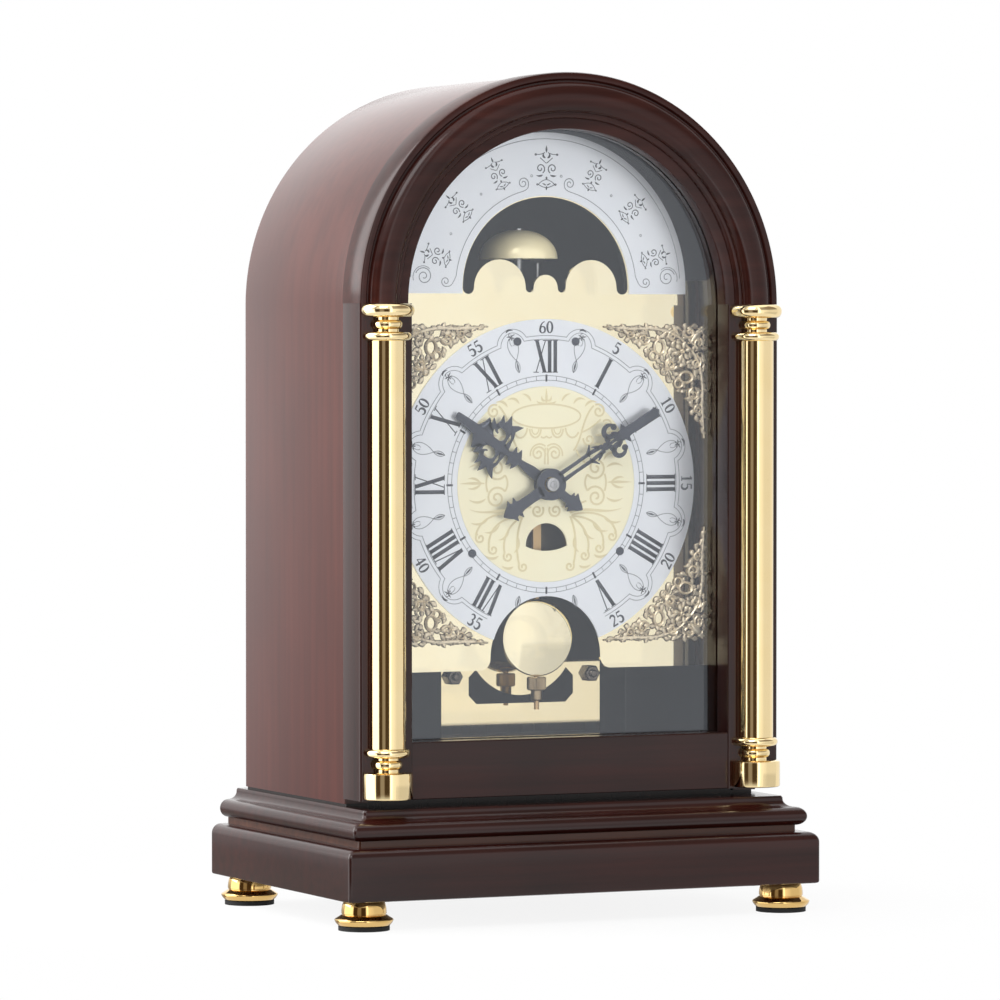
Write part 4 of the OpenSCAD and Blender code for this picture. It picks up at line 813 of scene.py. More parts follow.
# %% Bell
BELL_LOW, BELL_HIGH = box_mm("bell")
bell_r, bell_h = BELL_HIGH[0], BELL_HIGH[2] - BELL_LOW[2]
wall_t, hole_r = 1.2, 2.1
up = fan(0, 88, 24)
out = stack(bell_r * np.cos(up) ** 0.9, bell_h * np.sin(up))
inn = stack((bell_r - wall_t) * np.cos(up[::-1]) ** 0.9, (bell_h - wall_t) * np.sin(up[::-1]))
mouth = [[bell_r - wall_t / 2, 0.0]]
cup = np.concatenate([mouth, out, [[hole_r, bell_h], [hole_r, bell_h - wall_t]], inn, mouth])
bell = piece("bell_turned", [turned(cup, (0, (BELL_LOW[1] + BELL_HIGH[1]) / 2, BELL_LOW[2]), steps=96)], "case", BELL,
             ["bell"], crease=50)
lit_alone = bpy.data.collections.new("bell_alone")
lit_alone.objects.link(bell)
bell_lamp.light_linking.receiver_collection = lit_alone

# %% [markdown]
# ## Drawing on the dial
# Figures, borders and ornament are flat lines. A line is a ribbon: the left and right edge of a path, given a small
# depth. Letters are drawn upright in their own small frame and then turned to their place, with the top away from
# the centre.

# %% Flat lines
def edges(path, width):
    """Left and right edge of a path: the path plus and minus half the width across its direction."""
    p = np.asarray(path, float)
    d = np.gradient(p, axis=0)
    d /= np.linalg.norm(d, axis=1, keepdims=True)
    n = stack(-d[:, 1], d[:, 0]) * np.broadcast_to(np.asarray(width, float), len(p))[:, None] / 2
    return np.stack([p + n, p - n], 1)


def placed(flat, at, turn=0.0):
    """Turn flat points clockwise by `turn` degrees and move them to `at`."""
    a = np.radians(turn)
    u, v = flat[..., 0], flat[..., 1]
    return stack(at[0] + u * np.cos(a) + v * np.sin(a), at[1] - u * np.sin(a) + v * np.cos(a))


def ribbon(pair, front, back):
    """A closed strip between two edges, from the depth `front` to the depth `back`."""
    ring = np.stack([pair[:, 0], pair[:, 1], pair[:, 1], pair[:, 0]], 1)
    return shell(stack(ring[..., 0], [front, front, back, back], ring[..., 1]))


def inked(flat, turn=0.0, at=CENTRE, proud=0.05):
    """A flat line laid on the rings: turned about `at`, sunk 0.02 mm into them and standing `proud` of them."""
    return ribbon(placed(flat, at, turn), RING_FRONT - proud, RING_FRONT + 0.02)


def flipped(flat):
    """The same line on the other side of the upright axis."""
    return np.asarray(flat, float) * [-1, 1]


print("flat lines ready")

# %% [markdown]
# ## Curves
# Ornament is made of few kinds of curve: arcs of an oval, spirals and free bends. Each can be drawn at an even width,
# or as a leaf that swells and closes again.

# %% Curves
def oval(centre, rx, ry, a0=0, a1=360, n=33):
    """Points on an ellipse from angle a0 to a1, counted counter-clockwise from the right."""
    a = fan(a0, a1, n)
    return stack(centre[0] + rx * np.cos(a), centre[1] + ry * np.sin(a))


def curl(centre, radius, start, sweep, tight=0.2, n=29):
    """A spiral: the radius falls evenly to tight * radius while the angle runs from start through sweep degrees."""
    t = np.linspace(0, 1, n)
    a, r = np.radians(start + sweep * t), radius * (1 - (1 - tight) * t)
    return stack(centre[0] + r * np.cos(a), centre[1] + r * np.sin(a))


def bend(control, n=17):
    """A smooth curve from the first to the last control point, by repeated blending between neighbours; the control
    points may be written as one row of numbers."""
    t = np.linspace(0, 1, n)[:, None, None]
    p = np.reshape(np.asarray(control, float), (1, -1, 2))
    while p.shape[1] > 1:
        p = (1 - t) * p[:, :-1] + t * p[:, 1:]
    return p[:, 0]


def swell(width, n=17, lean=0.8, least=0.08):
    """A leaf's width along its length: least at both ends, widest a little before the middle."""
    return least + width * np.sin(np.pi * np.linspace(0, 1, n) ** lean)


def arc(width, x, y, *rest):
    """An oval round (x, y) and its width."""
    return oval((x, y), *rest), width


def scroll(width, x, y, *rest):
    """A spiral round (x, y) and its width."""
    return curl((x, y), *rest), width


def stalk(width, *control):
    """A bend of even width."""
    return bend(control), width


def frond(width, *control):
    """A bend that swells like a leaf."""
    return bend(control), swell(width)


print("curves ready")

# %% [markdown]
# ## Roman numerals
# The chapter ring carries the hours in roman numerals with one thick and one thin stroke and hairline serifs. Each
# letter has its own width, and a numeral is centred on its hour. The hour at the bottom is cut away for the bob.

# %% Roman numerals
LETTER = {"I": 2.9, "V": 5.6, "X": 6.2}
NUMERALS = ["XII", "I", "II", "III", "IIII", "V", "", "VII", "VIII", "IX", "X", "XI"]
LOW, HIGH = 52.0, 66.7
THICK, THIN, SERIF, HALF_SERIF = 1.8, 0.5, 0.4, 1.35


def slant(low, high, width):
    """A straight stroke with level ends, from `low` on the inner line to `high` on the outer line."""
    return np.array([[[x - width / 2, v], [x + width / 2, v]] for x, v in ((low, LOW), (high, HIGH))])


def numeral(word):
    """All strokes of one numeral, centred: thick bars, thin diagonals and hairline serifs."""
    u, out = -sum(LETTER[c] for c in word) / 2, []
    for c in word:
        w = LETTER[c]
        mid, right = u + w / 2, u + w
        if c == "I":
            out += [slant(mid, mid, THICK)]
            serif = [(mid, LOW), (mid, HIGH)]
        elif c == "V":
            out += [slant(mid, u + 1.0, THICK), slant(mid + 0.3, right - 0.6, THIN)]
            serif = [(u + 1.0, HIGH), (right - 0.6, HIGH)]
        else:
            out += [slant(right - 1.1, u + 1.1, THICK), slant(u + 0.7, right - 0.7, THIN)]
            serif = [(u + 1.1, HIGH), (right - 0.7, HIGH), (u + 0.7, LOW), (right - 1.1, LOW)]
        out += [edges([[s - HALF_SERIF, v], [s + HALF_SERIF, v]], SERIF) for s, v in serif]
        u += w
    return out


print_dark, print_fine = [], []
for hour, word in enumerate(NUMERALS):
    print_dark += [inked(stroke, hour * 30) for stroke in numeral(word)]
print("numeral strokes", len(print_dark))

# %% [markdown]
# ## Minute figures
# Every five minutes a small figure stands outside the border. A digit is a few strokes in a box one unit tall, each
# with its own width along the way, thin where a pen turns. Figures in the lower half stand on their heads, so that they
# read from the front.

# %% Minute figures
def pressed(least, more, n):
    """Width of a pen stroke: least at both ends and `more` on top of that in the middle, after a half sine."""
    return least + more * np.sin(np.linspace(0, np.pi, n))


ARC = np.abs(np.cos(fan(0, 360, 33)))
FIGURES = {
    "0": [(oval((0.31, 0.5), 0.23, 0.46), 0.07 + 0.11 * ARC)],
    "1": [([[0.31, 0], [0.31, 1]], 0.17), (bend([0.31, 0.98, 0.24, 0.86, 0.1, 0.84], 5), 0.08),
          ([[0.12, 0.03], [0.5, 0.03]], 0.07)],
    "2": [(np.concatenate([oval((0.31, 0.72), 0.21, 0.24, 165, -25, 15), [[0.3, 0.34], [0.08, 0.06]]]),
           np.concatenate([pressed(0.1, 0.08, 15), [0.13, 0.09]])), ([[0.06, 0.06], [0.56, 0.06]], 0.13)],
    "3": [(oval((0.28, 0.74), 0.2, 0.22, 150, -85, 15), pressed(0.07, 0.1, 15)),
          (oval((0.28, 0.28), 0.24, 0.25, 85, -150, 15), pressed(0.07, 0.12, 15))],
    "4": [([[0.4, 0.98], [0.05, 0.33]], 0.07), ([[0.03, 0.32], [0.58, 0.32]], 0.09), ([[0.42, 0], [0.42, 1]], 0.16)],
    "5": [([[0.15, 0.93], [0.52, 0.93]], 0.13), ([[0.16, 0.95], [0.12, 0.52]], 0.07),
          (oval((0.29, 0.3), 0.24, 0.28, 125, -150, 21), pressed(0.07, 0.12, 21))],
    "6": [(oval((0.31, 0.29), 0.23, 0.27), 0.07 + 0.1 * ARC),
          (bend([0.09, 0.33, 0.1, 0.8, 0.5, 0.97], 9), np.linspace(0.16, 0.06, 9))],
}
TALL, FIGURE_R = 5.6, 72.9
WIDE = TALL * 0.66
for minute in [m for m in range(5, 65, 5) if m != 30]:
    angle, word = minute * 6, str(minute)
    upside = -1 if 90 < angle < 270 else 1
    for k, digit in enumerate(word):
        for path, width in FIGURES[digit]:
            flat = edges(np.asarray(path) * TALL, np.asarray(width) * TALL)
            flat = flat + [k * WIDE - len(word) * WIDE / 2, -TALL / 2]
            print_dark.append(inked(upside * flat + [0, FIGURE_R], angle))
print("with minute figures", len(print_dark))

# %% [markdown]
# ## Minute track and border
# Inside the numerals runs a minute track between two hairlines, with a bold stroke at each hour. Outside them runs a
# double border that rises in a low arch over each half hour. Both are circles whose radius is a function of the angle.

# %% Minute track and border
def polar(radius, degrees):
    """Points at a radius and a clock angle, as (right, up)."""
    a = np.radians(np.asarray(degrees, float))
    return stack(radius * np.sin(a), radius * np.cos(a))


TRACK, BOLD_TRACK, HAIRLINE = np.array([48.3, 50.4]), np.array([47.7, 50.9]), 0.28
for radius in TRACK:
    print_fine.append(inked(edges(polar(radius, np.linspace(0, 360, 181)), HAIRLINE)))
for minute in range(60):
    bold = minute % 5 == 0
    tick = edges(polar(BOLD_TRACK if bold else TRACK, [minute * 6] * 2), 0.95 if bold else HAIRLINE)
    (print_dark if bold else print_fine).append(inked(tick))

sweep = np.linspace(-154.0, 154.0, 1541)
gap = (sweep - 15) % 30
gap = np.minimum(gap, 30 - gap)
for base, reach in ((69.0, 6.3), (67.3, 5.2)):
    lift = 5.2 * np.clip(1 - (gap / reach) ** 2, 0, 1) ** 0.75
    print_fine.append(inked(edges(polar(base + lift, sweep), 0.3)))
print("with track and border", len(print_dark), "dark and", len(print_fine), "fine lines")

# %% [markdown]
# ## Half hour blossoms
# Under each arch of the border hangs a small blossom on a looped stem, with a tassel below it. It is drawn once,
# upright, and turned to its twelve places. The two beside the bob keep only their tassels.

# %% Half hour blossoms
petals = ((-1.4, 0.6), (-1.1, -1.0), (0.2, -1.6), (1.2, -0.8), (1.5, 0.8))
blossom_dark = [edges(*frond(0.9, -1.9, 72.9, -0.9, 74.4, 0.2, 74.2, 1.9, 73.2)),
                edges(*scroll(0.32, 0, 71.4, 1.0, 90, 330, 0.3, 15))]
blossom_dark += [edges(*frond(0.45, 0, 70.6, u * 0.9, 70.4 + v, u * 1.5, 70.6 + v)) for u, v in petals]
blossom_fine = []
for s in (1, -1):
    blossom_fine += [edges(*stalk(0.32, 0.9 * s, 70.2, 4.0 * s, 67.5, 2.6 * s, 63.0, 0, 59.5)),
                     edges(*stalk(0.28, 0.6 * s, 70.0, 1.7 * s, 67.0, 0.3 * s, 66.4))]
tassel = [edges([[0, 59.6], [0, 53.8]], 0.3)]
tassel += [edges(*stalk(0.34, 0, 59.5, 2.2 * s, 56.3, 0, 53.6)) for s in (1, -1)]
tassel += [edges(*frond(0.9, 0, 58.2, 0.02, 56.0, 0, 54.2))]
for angle in range(15, 375, 30):
    cut_away = angle in (165, 195)
    print_fine += [inked(flat, angle) for flat in tassel + ([] if cut_away else blossom_fine)]
    print_dark += [inked(flat, angle) for flat in ([] if cut_away else blossom_dark)]
piece("ring_figures", print_dark, "case", INK, crease=180)
piece("ring_borders", print_fine, "case", FINE_INK, crease=180)

# %% [markdown]
# ## Engraved disc
# The middle of the dial is gilt and engraved with a symmetrical arabesque: an empty oval, swags under it and pairs of
# scrolls with small palmettes. It is only a shade darker than the gilding. One half is drawn and mirrored. Each line
# lies a hair higher than the one before, so that crossing lines don't share a face and turn dark.

# %% Arabesque
half_lines = [
    scroll(0.4, 4.2, 14.2, 3.7, 200, -560, 0.15), stalk(0.35, 0.8, 9.2, 0.9, 12.4, 0.5, 17.0),
    stalk(0.35, 0.5, 17.6, 4.0, 20.4, 8.8, 17.4, 8.2, 13.0),
    arc(0.4, 5.7, 25.8, 2.9, 4.1, 180, 360, 17), arc(0.3, 5.7, 25.8, 1.8, 2.6, 180, 360, 13),
    arc(0.4, 13.4, 26.6, 3.6, 5.0, 185, 330, 17), stalk(0.35, 0, 22.4, 1.4, 20.8, 2.8, 22.2),
    scroll(0.45, 25.5, 7.4, 5.3, 215, 600, 0.1, 45), scroll(0.45, 25.5, -6.2, 5.3, 145, -600, 0.1, 45),
    stalk(0.4, 21.2, 4.4, 18.6, 0.6, 21.2, -3.2), stalk(0.4, 30.0, 4.6, 31.5, 0.6, 30.0, -3.4),
    stalk(0.4, 20.6, 9.4, 17.0, 12.0, 15.4, 16.0), stalk(0.4, 20.6, -8.0, 16.0, -9.0, 12.6, -13.0),
    frond(0.5, 31.5, 0.6, 37.0, 0.9, 44.0, 0.6), frond(0.45, 33.5, 0.8, 36.5, 3.8, 40.0, 2.8),
    frond(0.45, 33.5, 0.4, 36.5, -2.6, 40.0, -1.6), frond(0.45, 31.0, 7.6, 35.0, 10.8, 39.5, 8.0),
    frond(0.45, 31.0, -6.4, 35.0, -9.6, 39.5, -6.8), frond(0.45, 29.6, 11.0, 31.5, 15.5, 37.0, 14.5),
    stalk(0.4, 14.0, 15.5, 18.6, 21.0, 18.4, 31.0, 24.4, 36.4), scroll(0.4, 26.9, 33.8, 3.4, 120, -500, 0.18),
    stalk(0.35, 18.0, 24.0, 22.0, 25.0, 28.0, 30.0), scroll(0.4, 31.4, 27.2, 2.8, 140, -460, 0.2),
    scroll(0.4, 21.9, 20.6, 3.0, 165, 480, 0.18), frond(0.45, 24.6, 19.0, 29.0, 17.0, 33.6, 20.4),
    frond(0.45, 25.0, 22.6, 29.5, 22.6, 34.5, 24.6), frond(0.45, 20.0, 36.0, 22.0, 39.5, 26.0, 38.0),
    frond(0.45, 14.0, 37.4, 16.0, 41.0, 20.0, 39.2), frond(0.4, 8.0, 38.6, 9.0, 41.6, 12.4, 42.0),
    frond(0.45, 0, 37.4, 0.02, 40.0, 0, 44.4), frond(0.4, 0.2, 39.0, 2.6, 38.2, 2.4, 41.0),
    frond(0.4, 0.4, 37.7, 3.2, 36.9, 5.0, 38.6),
    scroll(0.4, 4.6, -12.2, 3.3, 150, 540, 0.15), stalk(0.4, 7.8, -10.6, 11.0, -10.4, 12.8, -13.6),
    frond(0.5, 12.6, -13.6, 20.0, -9.6, 30.0, -15.0, 39.0, -11.4),
    stalk(0.4, 13.0, -14.4, 24.0, -11.6, 34.0, -15.0, 36.0, -23.0), scroll(0.4, 33.8, -24.6, 2.5, 55, -440, 0.2),
    stalk(0.4, 13.0, -15.0, 23.0, -15.0, 30.0, -20.0, 29.4, -28.8), scroll(0.4, 27.2, -30.0, 2.5, 40, -440, 0.2),
    stalk(0.4, 12.8, -15.0, 19.0, -18.4, 23.0, -25.0, 21.4, -31.6), scroll(0.4, 19.6, -33.4, 2.5, 45, -440, 0.2),
    stalk(0.4, 12.2, -15.0, 15.6, -22.0, 15.6, -31.0, 14.0, -37.0), scroll(0.4, 11.9, -38.2, 2.4, 30, -440, 0.2),
    frond(0.45, 30.0, -16.0, 34.0, -19.4, 38.4, -17.6), frond(0.45, 24.0, -18.6, 27.0, -23.0, 31.6, -22.0),
    frond(0.45, 19.0, -20.6, 20.6, -25.6, 24.6, -25.6), frond(0.45, 24.6, -33.0, 27.6, -35.4, 31.6, -32.6),
    frond(0.45, 14.2, -25.0, 13.6, -29.6, 16.6, -31.6), frond(0.45, 17.0, -38.0, 19.6, -40.0, 22.8, -37.6),
]
BROAD, STEP = 2.2, 0.002
pattern = [inked(edges(oval((0, 31.6), 17.6, 5.6, n=65), 0.8))]
for path, width in half_lines:
    for line in (path, flipped(path)):
        pattern.append(inked(edges(line, np.asarray(width) * BROAD), proud=0.05 + STEP * len(pattern)))
piece("disc_engraving", pattern, "case", ETCH, crease=30)

# %% [markdown]
# ## Arch ornaments
# Above the dial a silvered arch frames the opening. Seven small ornaments stand on it, the middle one larger than the
# rest: two volutes with a trefoil above and one below. One half is drawn and mirrored, and the whole is turned to its
# place round the centre of the arch.

# %% Arch ornaments
def ornament(size):
    """An upright ornament, `size` times the middle one: two volutes, a trefoil above them and one below."""
    one = [scroll(0.5, 3.1, -0.5, 2.4, 240, -450, 0.2, 25), frond(0.8, 1.9, -3.4, 3.4, -4.4, 5.2, -3.7),
           stalk(0.35, 0.1, 2.0, 1.4, 3.0, 3.2, 4.5), frond(0.95, 0.4, 4.4, 2.3, 5.0, 1.3, 6.8),
           stalk(0.35, 0.8, 7.0, 2.2, 6.0, 4.8, 6.0), arc(0.5, 5.5, 6.0, 0.4, 0.3, 0, 360, 11),
           stalk(0.35, 0.2, -5.6, 2.4, -6.0, 4.2, -7.9), stalk(0.35, 0.2, -9.3, 1.8, -9.2, 4.2, -7.9),
           arc(0.4, 4.7, -7.9, 0.35, 0.3, 0, 360, 11), frond(0.5, 0.2, -8.2, 1.2, -7.8, 2.2, -7.2)]
    mid = [frond(0.85, 0, v, 0.01, (v + w) / 2, 0, w) for v, w in ((6.9, 10.2), (-4.2, -5.8), (-8.6, -10.6))]
    lines = mid + one + [(flipped(p), w) for p, w in one]
    return [edges(np.asarray(p) * size, np.asarray(w) * max(size, 0.85)) for p, w in lines]


arch_dark = []
for angle in (0, 25.2, 50.3, 75.4):
    size, radius, sides = (1.0, 55.9, (1,)) if angle == 0 else (0.8, 58.3, (1, -1))
    for side in sides:
        arch_dark += [inked(flat + [0, radius], angle * side, MOON) for flat in ornament(size)]
piece("arch_ornaments", arch_dark, "case", INK, crease=180)

# %% [markdown]
# ## Arch lines
# A fine line runs along the inner edge of the arch on both sides and ends in a volute at each end. A larger volute
# fills each foot of the arch, one line follows the outer edge, and small circles stand between the ornaments.

# %% Arch lines
inner = polar(46.3, np.linspace(15.5, 83.0, 61))
lines = [(inner, 0.32), stalk(0.32, *inner[0], 10.2, 45.2, 9.1, 46.4, 9.2, 47.8),
         scroll(0.4, 11.9, 48.5, 2.79, 194.5, -540), stalk(0.32, *inner[-1], 47.6, 2.0, 48.4, 0.6, 50.4, 0.6),
         scroll(0.4, 51.3, 2.9, 2.4, 250, 500), scroll(0.4, 62.3, 5.2, 4.3, 20, 640, 0.15, 41),
         scroll(0.3, 62.3, 5.2, 5.6, -20, 150, 0.8, 21), (polar(69.2, np.linspace(0, 86, 61)), 0.3)]
lines += [arc(0.3, x, z, 0.5, 0.5, 0, 360, 11) for x, z in polar(np.array([52.5, 54.6, 54.6]), [8.3, 37.7, 63.0])]
arch_fine = [inked(edges(path, width) * [side, 1], at=MOON) for side in (1, -1) for path, width in lines]
piece("arch_lines", arch_fine, "case", FINE_INK, crease=180)

# %% [markdown]
# ## Hour hand
# The hands are sawn from thin steel and blackened. The hour hand opens into two flame edged lobes, each pierced by a
# heart shaped hole and a slit. Such a pierced lobe is two bands: one between the hole and the slit, one between the
# slit and the flames. Everything is drawn upright and then turned to the time shown.

# %% Hour hand
MINUTES, FACE_IN = 609.7, 0.05


def along(*numbers):
    """A straight bar whose half width changes along it: one cross line for each (height, half width) pair."""
    v, h = np.reshape(np.array(numbers, float), (-1, 2)).T
    return np.stack([stack(-h, v), stack(h, v)], 1)


def sawn(name, shape, node, body, turn):
    """A hand: its flat shape turned to the time and given the depth of its solid, with slightly eased edges."""
    low, high = box_mm(node)
    piece(name, [ribbon(placed(s, CENTRE, turn), low[1] + FACE_IN, high[1]) for s in shape], body, BLUED, [node],
          bevel=0.1)


flames = np.reshape([1.0, 26.3, 3.1, 26.4, 5.5, 26.9, 7.6, 27.0, 10.0, 27.9, 12.0, 26.8, 14.2, 25.5, 13.2, 28.4,
                     11.5, 31.0, 13.3, 32.2, 15.3, 33.6, 12.5, 33.9, 10.5, 34.7, 11.7, 35.8, 13.3, 37.1, 10.7, 36.9,
                     8.6, 37.4, 7.7, 38.2, 9.6, 40.5, 7.0, 40.1, 5.0, 41.2, 6.3, 41.6, 8.4, 42.4, 5.4, 43.5,
                     2.2, 45.4], (-1, 2))
angle = np.degrees(np.arctan2(flames[:, 1] - 34.0, flames[:, 0] - 4.6))
toward = np.radians(np.interp(angle, [-114, 101], [-150, 150]))
heart = stack(4.9 + 2.9 * np.cos(toward), 34.0 + 3.7 * np.sin(toward))
half_way, slit = 0.52, np.interp(angle, [-104, -92, -66, -54], [0, 0.24, 0.2, 0])[:, None]
hour_lobe = [np.stack([flames, heart + (half_way + slit) * (flames - heart)], 1),
             np.stack([heart + (half_way - slit) * (flames - heart), heart], 1),
             edges(*stalk(np.linspace(1.9, 0.5, 17), 7.6, 36.4, 5.4, 37.4, 4.8, 34.9))]
hub = [edges(oval((0, 0), 5.5, 5.5, n=65), 3.8)]
hour_shape = hub + hour_lobe + [flipped(s) for s in hour_lobe]
hour_shape += [along(5.4, 2.6, 11, 2.5, 16.5, 1.6, 18.2, 1.4, 19.0, 3.0, 20.4, 5.2, 20.9, 3.4, 21.9, 2.9, 23.3, 5.0,
                     23.8, 2.3, 24.6, 1.3, 25.4, 1.2, 26.6, 1.7, 28, 2.1, 30, 2.2, 38, 2.2, 43, 2.4, 45, 2.5, 50, 2.2,
                     56, 1.7, 57, 1.4),
               along(-21.0, 0.3, -19.2, 1.9, -17.0, 3.2, -15.0, 5.0, -14.7, 3.4, -14.0, 3.0, -13.2, 4.2, -12.9, 2.5,
                     -11.6, 2.0, -5.4, 2.4)]
sawn("hour_hand_pierced", hour_shape, "hour_hand", "hour", MINUTES / 2)

# %% [markdown]
# ## Minute hand
# The minute hand has a split stem with small spurs, a pair of scrolls that end in balls, and a plain narrow blade. Its
# tail is a small leaf, like that of the hour hand.

# %% Minute hand
ring_width = np.interp(np.linspace(0, 1, 33), [0, 0.6, 1], [2.4, 2.2, 1.0])
minute_half = [
    edges([[1.75, 5.4], [1.65, 14.0], [1.75, 24.0], [1.2, 31.5]], [2.0, 1.5, 1.6, 1.9]),
    edges(*stalk(np.linspace(2.4, 0.3, 17), 1.2, 22.6, 2.6, 24.2, 5.2, 26.0)),
    edges(*stalk(np.linspace(2.0, 0.3, 17), 1.2, 29.5, 2.8, 28.4, 3.6, 26.4)),
    edges(*arc(ring_width, 5.1, 38.4, 2.7, 3.1, -205, 80, 33)),
    edges(*arc(1.4, 5.6, 41.2, 0.75, 0.75, 0, 360, 17)),
    edges(*stalk(2.1, 0.8, 35.6, 2.6, 34.6, 3.8, 36.2)),
    edges(*stalk(1.8, 1.2, 41.6, 2.8, 40.4, 3.2, 38.6)),
]
minute_shape = hub + minute_half + [flipped(s) for s in minute_half]
minute_shape += [along(30.5, 1.0, 33, 1.8, 34.6, 1.4, 36.2, 0.6, 38.4, 0.7, 40, 1.6, 42, 2.4, 43.6, 2.6, 45.2, 4.9,
                       46.0, 2.5, 47.4, 2.2, 55, 2.1, 62.8, 2.05, 63.6, 2.6, 64.1, 1.2, 65.4, 0.3),
                 along(-28.4, 0.3, -26.4, 2.2, -24.6, 3.4, -23.0, 5.6, -22.6, 3.6, -21.4, 3.2, -19.8, 5.4, -19.4, 3.0,
                       -17.8, 2.5, -12, 2.4, -5.4, 2.6)]
sawn("minute_hand_pierced", minute_shape, "minute_hand", "minute", MINUTES * 6)

# %% [markdown]
# ## Hand nut
# A turned steel nut holds the hands. Its rounded face has a fine ring and a small hollow in the middle, which catch
# the light as two thin circles.

# %% Hand nut
CAP_LOW, CAP_HIGH = box_mm("hand_nut")
cap_r, cap_y = CAP_HIGH[0], CAP_LOW[1]
cap = [[0, CAP_HIGH[1]], [cap_r, CAP_HIGH[1]], [cap_r, cap_y + 0.9], [cap_r - 0.3, cap_y + 0.5], [1.75, cap_y + 0.15],
       [1.6, cap_y + 0.4], [1.45, cap_y + 0.1], [0.75, cap_y], [0.6, cap_y + 0.5], [0, cap_y + 0.5]]
piece("hand_nut_turned", [turned(cap, (0, 0, DIAL_Z), "y", 40)], "minute", STEEL, ["hand_nut"], crease=35)

# %% [markdown]
# ## Corner pieces
# The four spandrels are thin castings of rounded leaves and scrolls, dense as foliage and open only inside the scrolls.
# Each leaf is a ribbon with a rounded top. One wing is drawn from the corner inward, its mirror image about the
# diagonal is added, and the whole is set into the four corners.

# %% Leaves and scrolls
CAST_HIGH = box_mm("spandrels")[1]
corner_x, corner_z = CAST_HIGH[0], CAST_HIGH[2] - DIAL_Z
RING_CLEAR = RING_R + 1.6


def domed(pair, height, back=DIAL_FRONT + 0.02, across=5):
    """A ribbon with a rounded top: across it, the offset follows a cosine and the rise a sine."""
    a = np.linspace(0, np.pi, across)
    mid, half = pair.mean(1)[:, None], (pair[:, 0] - pair[:, 1])[:, None] / 2
    flat = mid + half * np.cos(a)[None, :, None]
    return shell(stack(flat[..., 0], back - height * np.sin(a), flat[..., 1]))


def leaf(foot, tip, width, hook=0.25):
    """A teardrop from foot to tip, bowed to one side by `hook` of its length, broadest near the tip."""
    foot, tip = np.asarray(foot, float), np.asarray(tip, float)
    way = tip - foot
    bow = foot + way * 0.55 + np.array([-way[1], way[0]]) * hook
    return edges(bend([foot, bow, tip], 8), swell(width, 8, 1.25, 0.3))


def ring_depth(a):
    """How far down a wing may reach at a distance `a` from the corner before it meets the chapter ring."""
    return corner_z - np.sqrt(np.maximum(RING_CLEAR ** 2 - (corner_x - a) ** 2, 0))


def spiral(at, radius, start, sweep, width):
    """A scroll that narrows toward its middle."""
    return edges(curl(at, radius, start, sweep, 0.22, 29), np.linspace(width, width * 0.45, 29))


print("corner at", corner_x.round(1), corner_z.round(1), "mm from the centre of the dial")

# %% [markdown]
# ## One wing
# A spine runs along the edge of the dial to a thin tip. Small leaves fill the wing as far as the ring allows, each a
# little off its row and turned its own way, as in a casting cut by hand. Scrolls stand higher between them, with open
# spots in their middles.

# %% One wing
wing = [(edges(bend([9.6, 10.4, 14.0, 3.0, 25.0, 0.6, 38.0, 1.9], 25), np.linspace(1.4, 2.2, 25)), 1.25),
        (edges(bend([36.0, 1.7, 44.0, 1.6, 53.2, 0.9], 15), np.linspace(2.8, 0.9, 15)), 1.2)]
scatter = np.random.default_rng(11)
rows = np.stack(np.meshgrid(np.arange(3.0, 51.0, 2.75), np.arange(1.6, 34, 2.55)), -1).reshape(-1, 2)
rows = rows + scatter.uniform(-0.8, 0.8, rows.shape)
open_at = np.array([[24.5, 10.5, 3.4], [28.9, 9.6, 1.9], [26.8, 5.0, 1.9], [27.3, 14.4, 2.3], [12.4, 12.4, 4.0]])
gaps = np.linalg.norm(rows[:, None] - open_at[None, :, :2], axis=-1) - open_at[:, 2]
inside = (rows[:, 1] < ring_depth(rows[:, 0]) - 1.3) & (rows[:, 1] < rows[:, 0] + 0.6) & (gaps.min(1) > 0)
spread = np.degrees(np.arctan2(rows[:, 1] - 9.0, rows[:, 0] - 8.0)) + scatter.uniform(-80, 80, len(rows))
length, broad, high = (scatter.uniform(lo, hi, len(rows)) for lo, hi in ((3.0, 4.6), (2.1, 3.1), (0.8, 1.3)))
reach = (length / 2)[:, None] * stack(np.cos(np.radians(spread)), np.sin(np.radians(spread)))
for at, step, w, h in zip(rows[inside], reach[inside], broad[inside], high[inside]):
    wing.append((leaf(at - step, at + step, w, 0.2 if w > 2.6 else -0.2), h))
wing += [(edges(oval((24.5, 10.5), 2.6, 3.4, n=33), 1.5), 1.55), (edges(oval((27.4, 14.4), 2.0, 2.0, n=25), 1.3), 1.45),
         (spiral((32.6, 6.4), 3.0, 170, -430, 1.7), 1.5), (spiral((39.6, 4.2), 2.2, 180, -400, 1.4), 1.4),
         (spiral((18.6, 18.4), 2.8, 290, 430, 1.6), 1.5), (spiral((8.6, 3.6), 2.6, 20, 420, 1.6), 1.5),
         (spiral((17.6, 5.2), 2.9, 200, 400, 1.7), 1.45)]
print("a wing has", len(wing), "leaves and scrolls")

# %% [markdown]
# ## Four corners
# A flower with six petals sits where the two wings meet, with a leaf that points into the corner. The wing, its mirror
# image and the flower are then set into each corner of the dial.

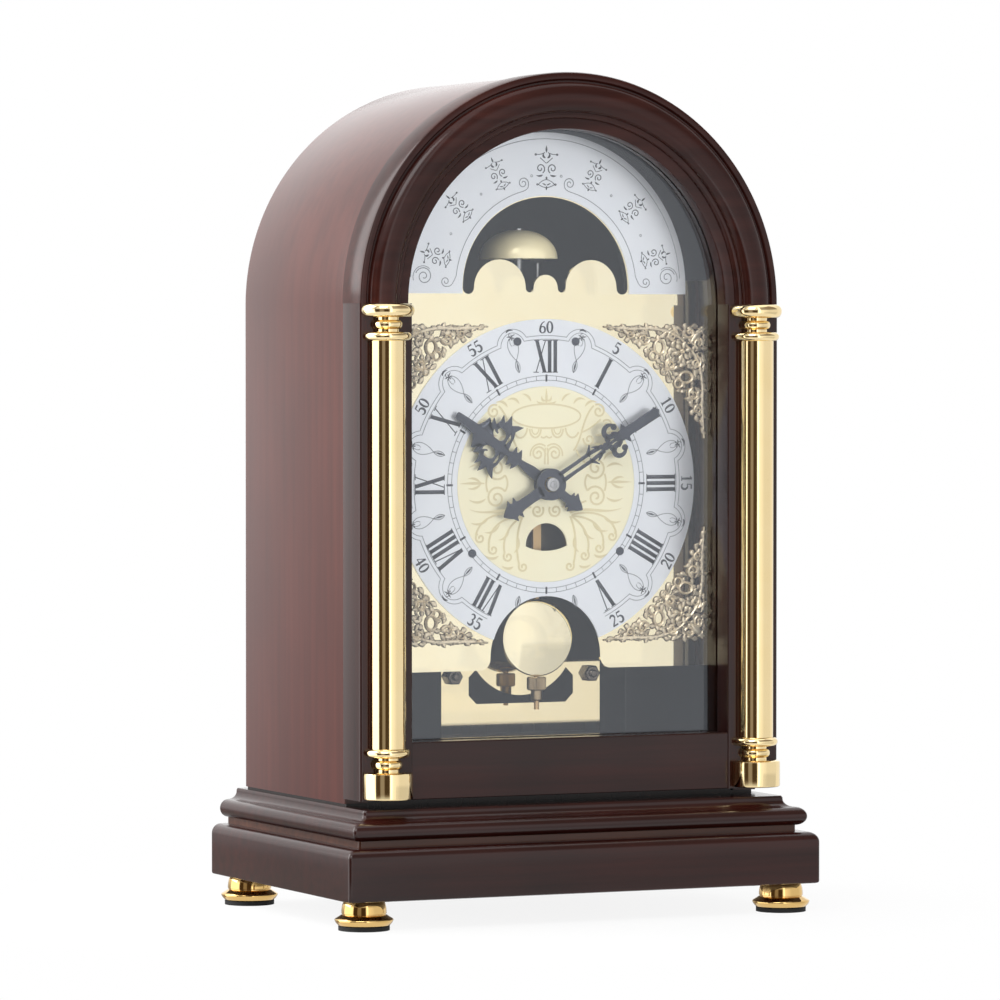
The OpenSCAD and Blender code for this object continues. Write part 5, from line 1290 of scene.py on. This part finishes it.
# %% Four corners
FLOWER = 12.4
petal_way = stack(np.cos(np.radians(np.arange(10, 370, 60))), np.sin(np.radians(np.arange(10, 370, 60))))
flower = [(edges(oval((FLOWER, FLOWER), 0.7, 0.7, n=21), 1.4), 1.58),
          (edges(oval((21.8, 21.8), 1.5, 1.5, n=21), 1.1), 1.2)]
flower += [(leaf(FLOWER + 1.2 * way, FLOWER + 4.8 * way, 2.6, 0.1), 1.55) for way in petal_way]
flower += [(leaf([8.6, 8.6], [3.0, 3.0], 3.2, 0.0), 1.5)]
castings = []
for sx in (1, -1):
    for sz in (1, -1):
        for flat, lift in wing + [(p[..., ::-1], h) for p, h in wing] + flower:
            spot = stack(sx * (corner_x - flat[..., 0]), DIAL_Z + sz * (corner_z - flat[..., 1]))
            castings.append(domed(spot, lift))
piece("spandrel_castings", castings, "case", CAST, ["spandrels"], crease=60)

# %% [markdown]
# ## Finishes of the solids that stay
# Plates, wheels, hinges and boards are plain machined shapes, so their solids are shown as they are, each with the
# finish of its material.

# %% Dress the solids
DRESS = {
    LINING: ["seat_board"],
    # Inner boards take the stain painted nearly black as shade.
    WOOD_INSIDE_PAINTED_SHADE: ["case_floor", "dial_surround", "glass_bead"],
    BRASS: ["back_latch", "back_hinge_fixed", "back_hinge_moving", "door_hinge_fixed", "door_hinge_moving"],
    PLATE: ["dial_plate"],
    APRON: ["apron_plate"],
    DISC: ["centre_disc"],
    SILVER: ["chapter_ring", "moon_arch"],
    WHEEL: ["dial_pillars", "cannon_pinion", "minute_wheel", "hour_wheel", "back_plate",
            "plate_pillars", "centre_wheel", "third_wheel", "escape_wheel", "anchor_cock", "great_wheel",
            "winding_key", "setting_knob"],
    STEEL: ["case_screws", "door_catch", "anchor", "barrel_arbor", "ratchet_wheel", "click", "hammer",
            "bell_post", "mainspring"],
    ROD: ["pendulum_rod"],
    BLUED: ["dial_screws"],
    # The front plate takes the dim brass that is painted shade.
    PLATE_PAINTED_SHADE: ["front_plate"],
    GLASS: ["door_glass"],
    RUBBER: ["foot_pads"],
}
for coat, names in DRESS.items():
    for name in names:
        mesh = nodes[name].data
        mesh.materials.clear()
        mesh.materials.append(coat)
print("dressed", sum(len(v) for v in DRESS.values()), "solids")
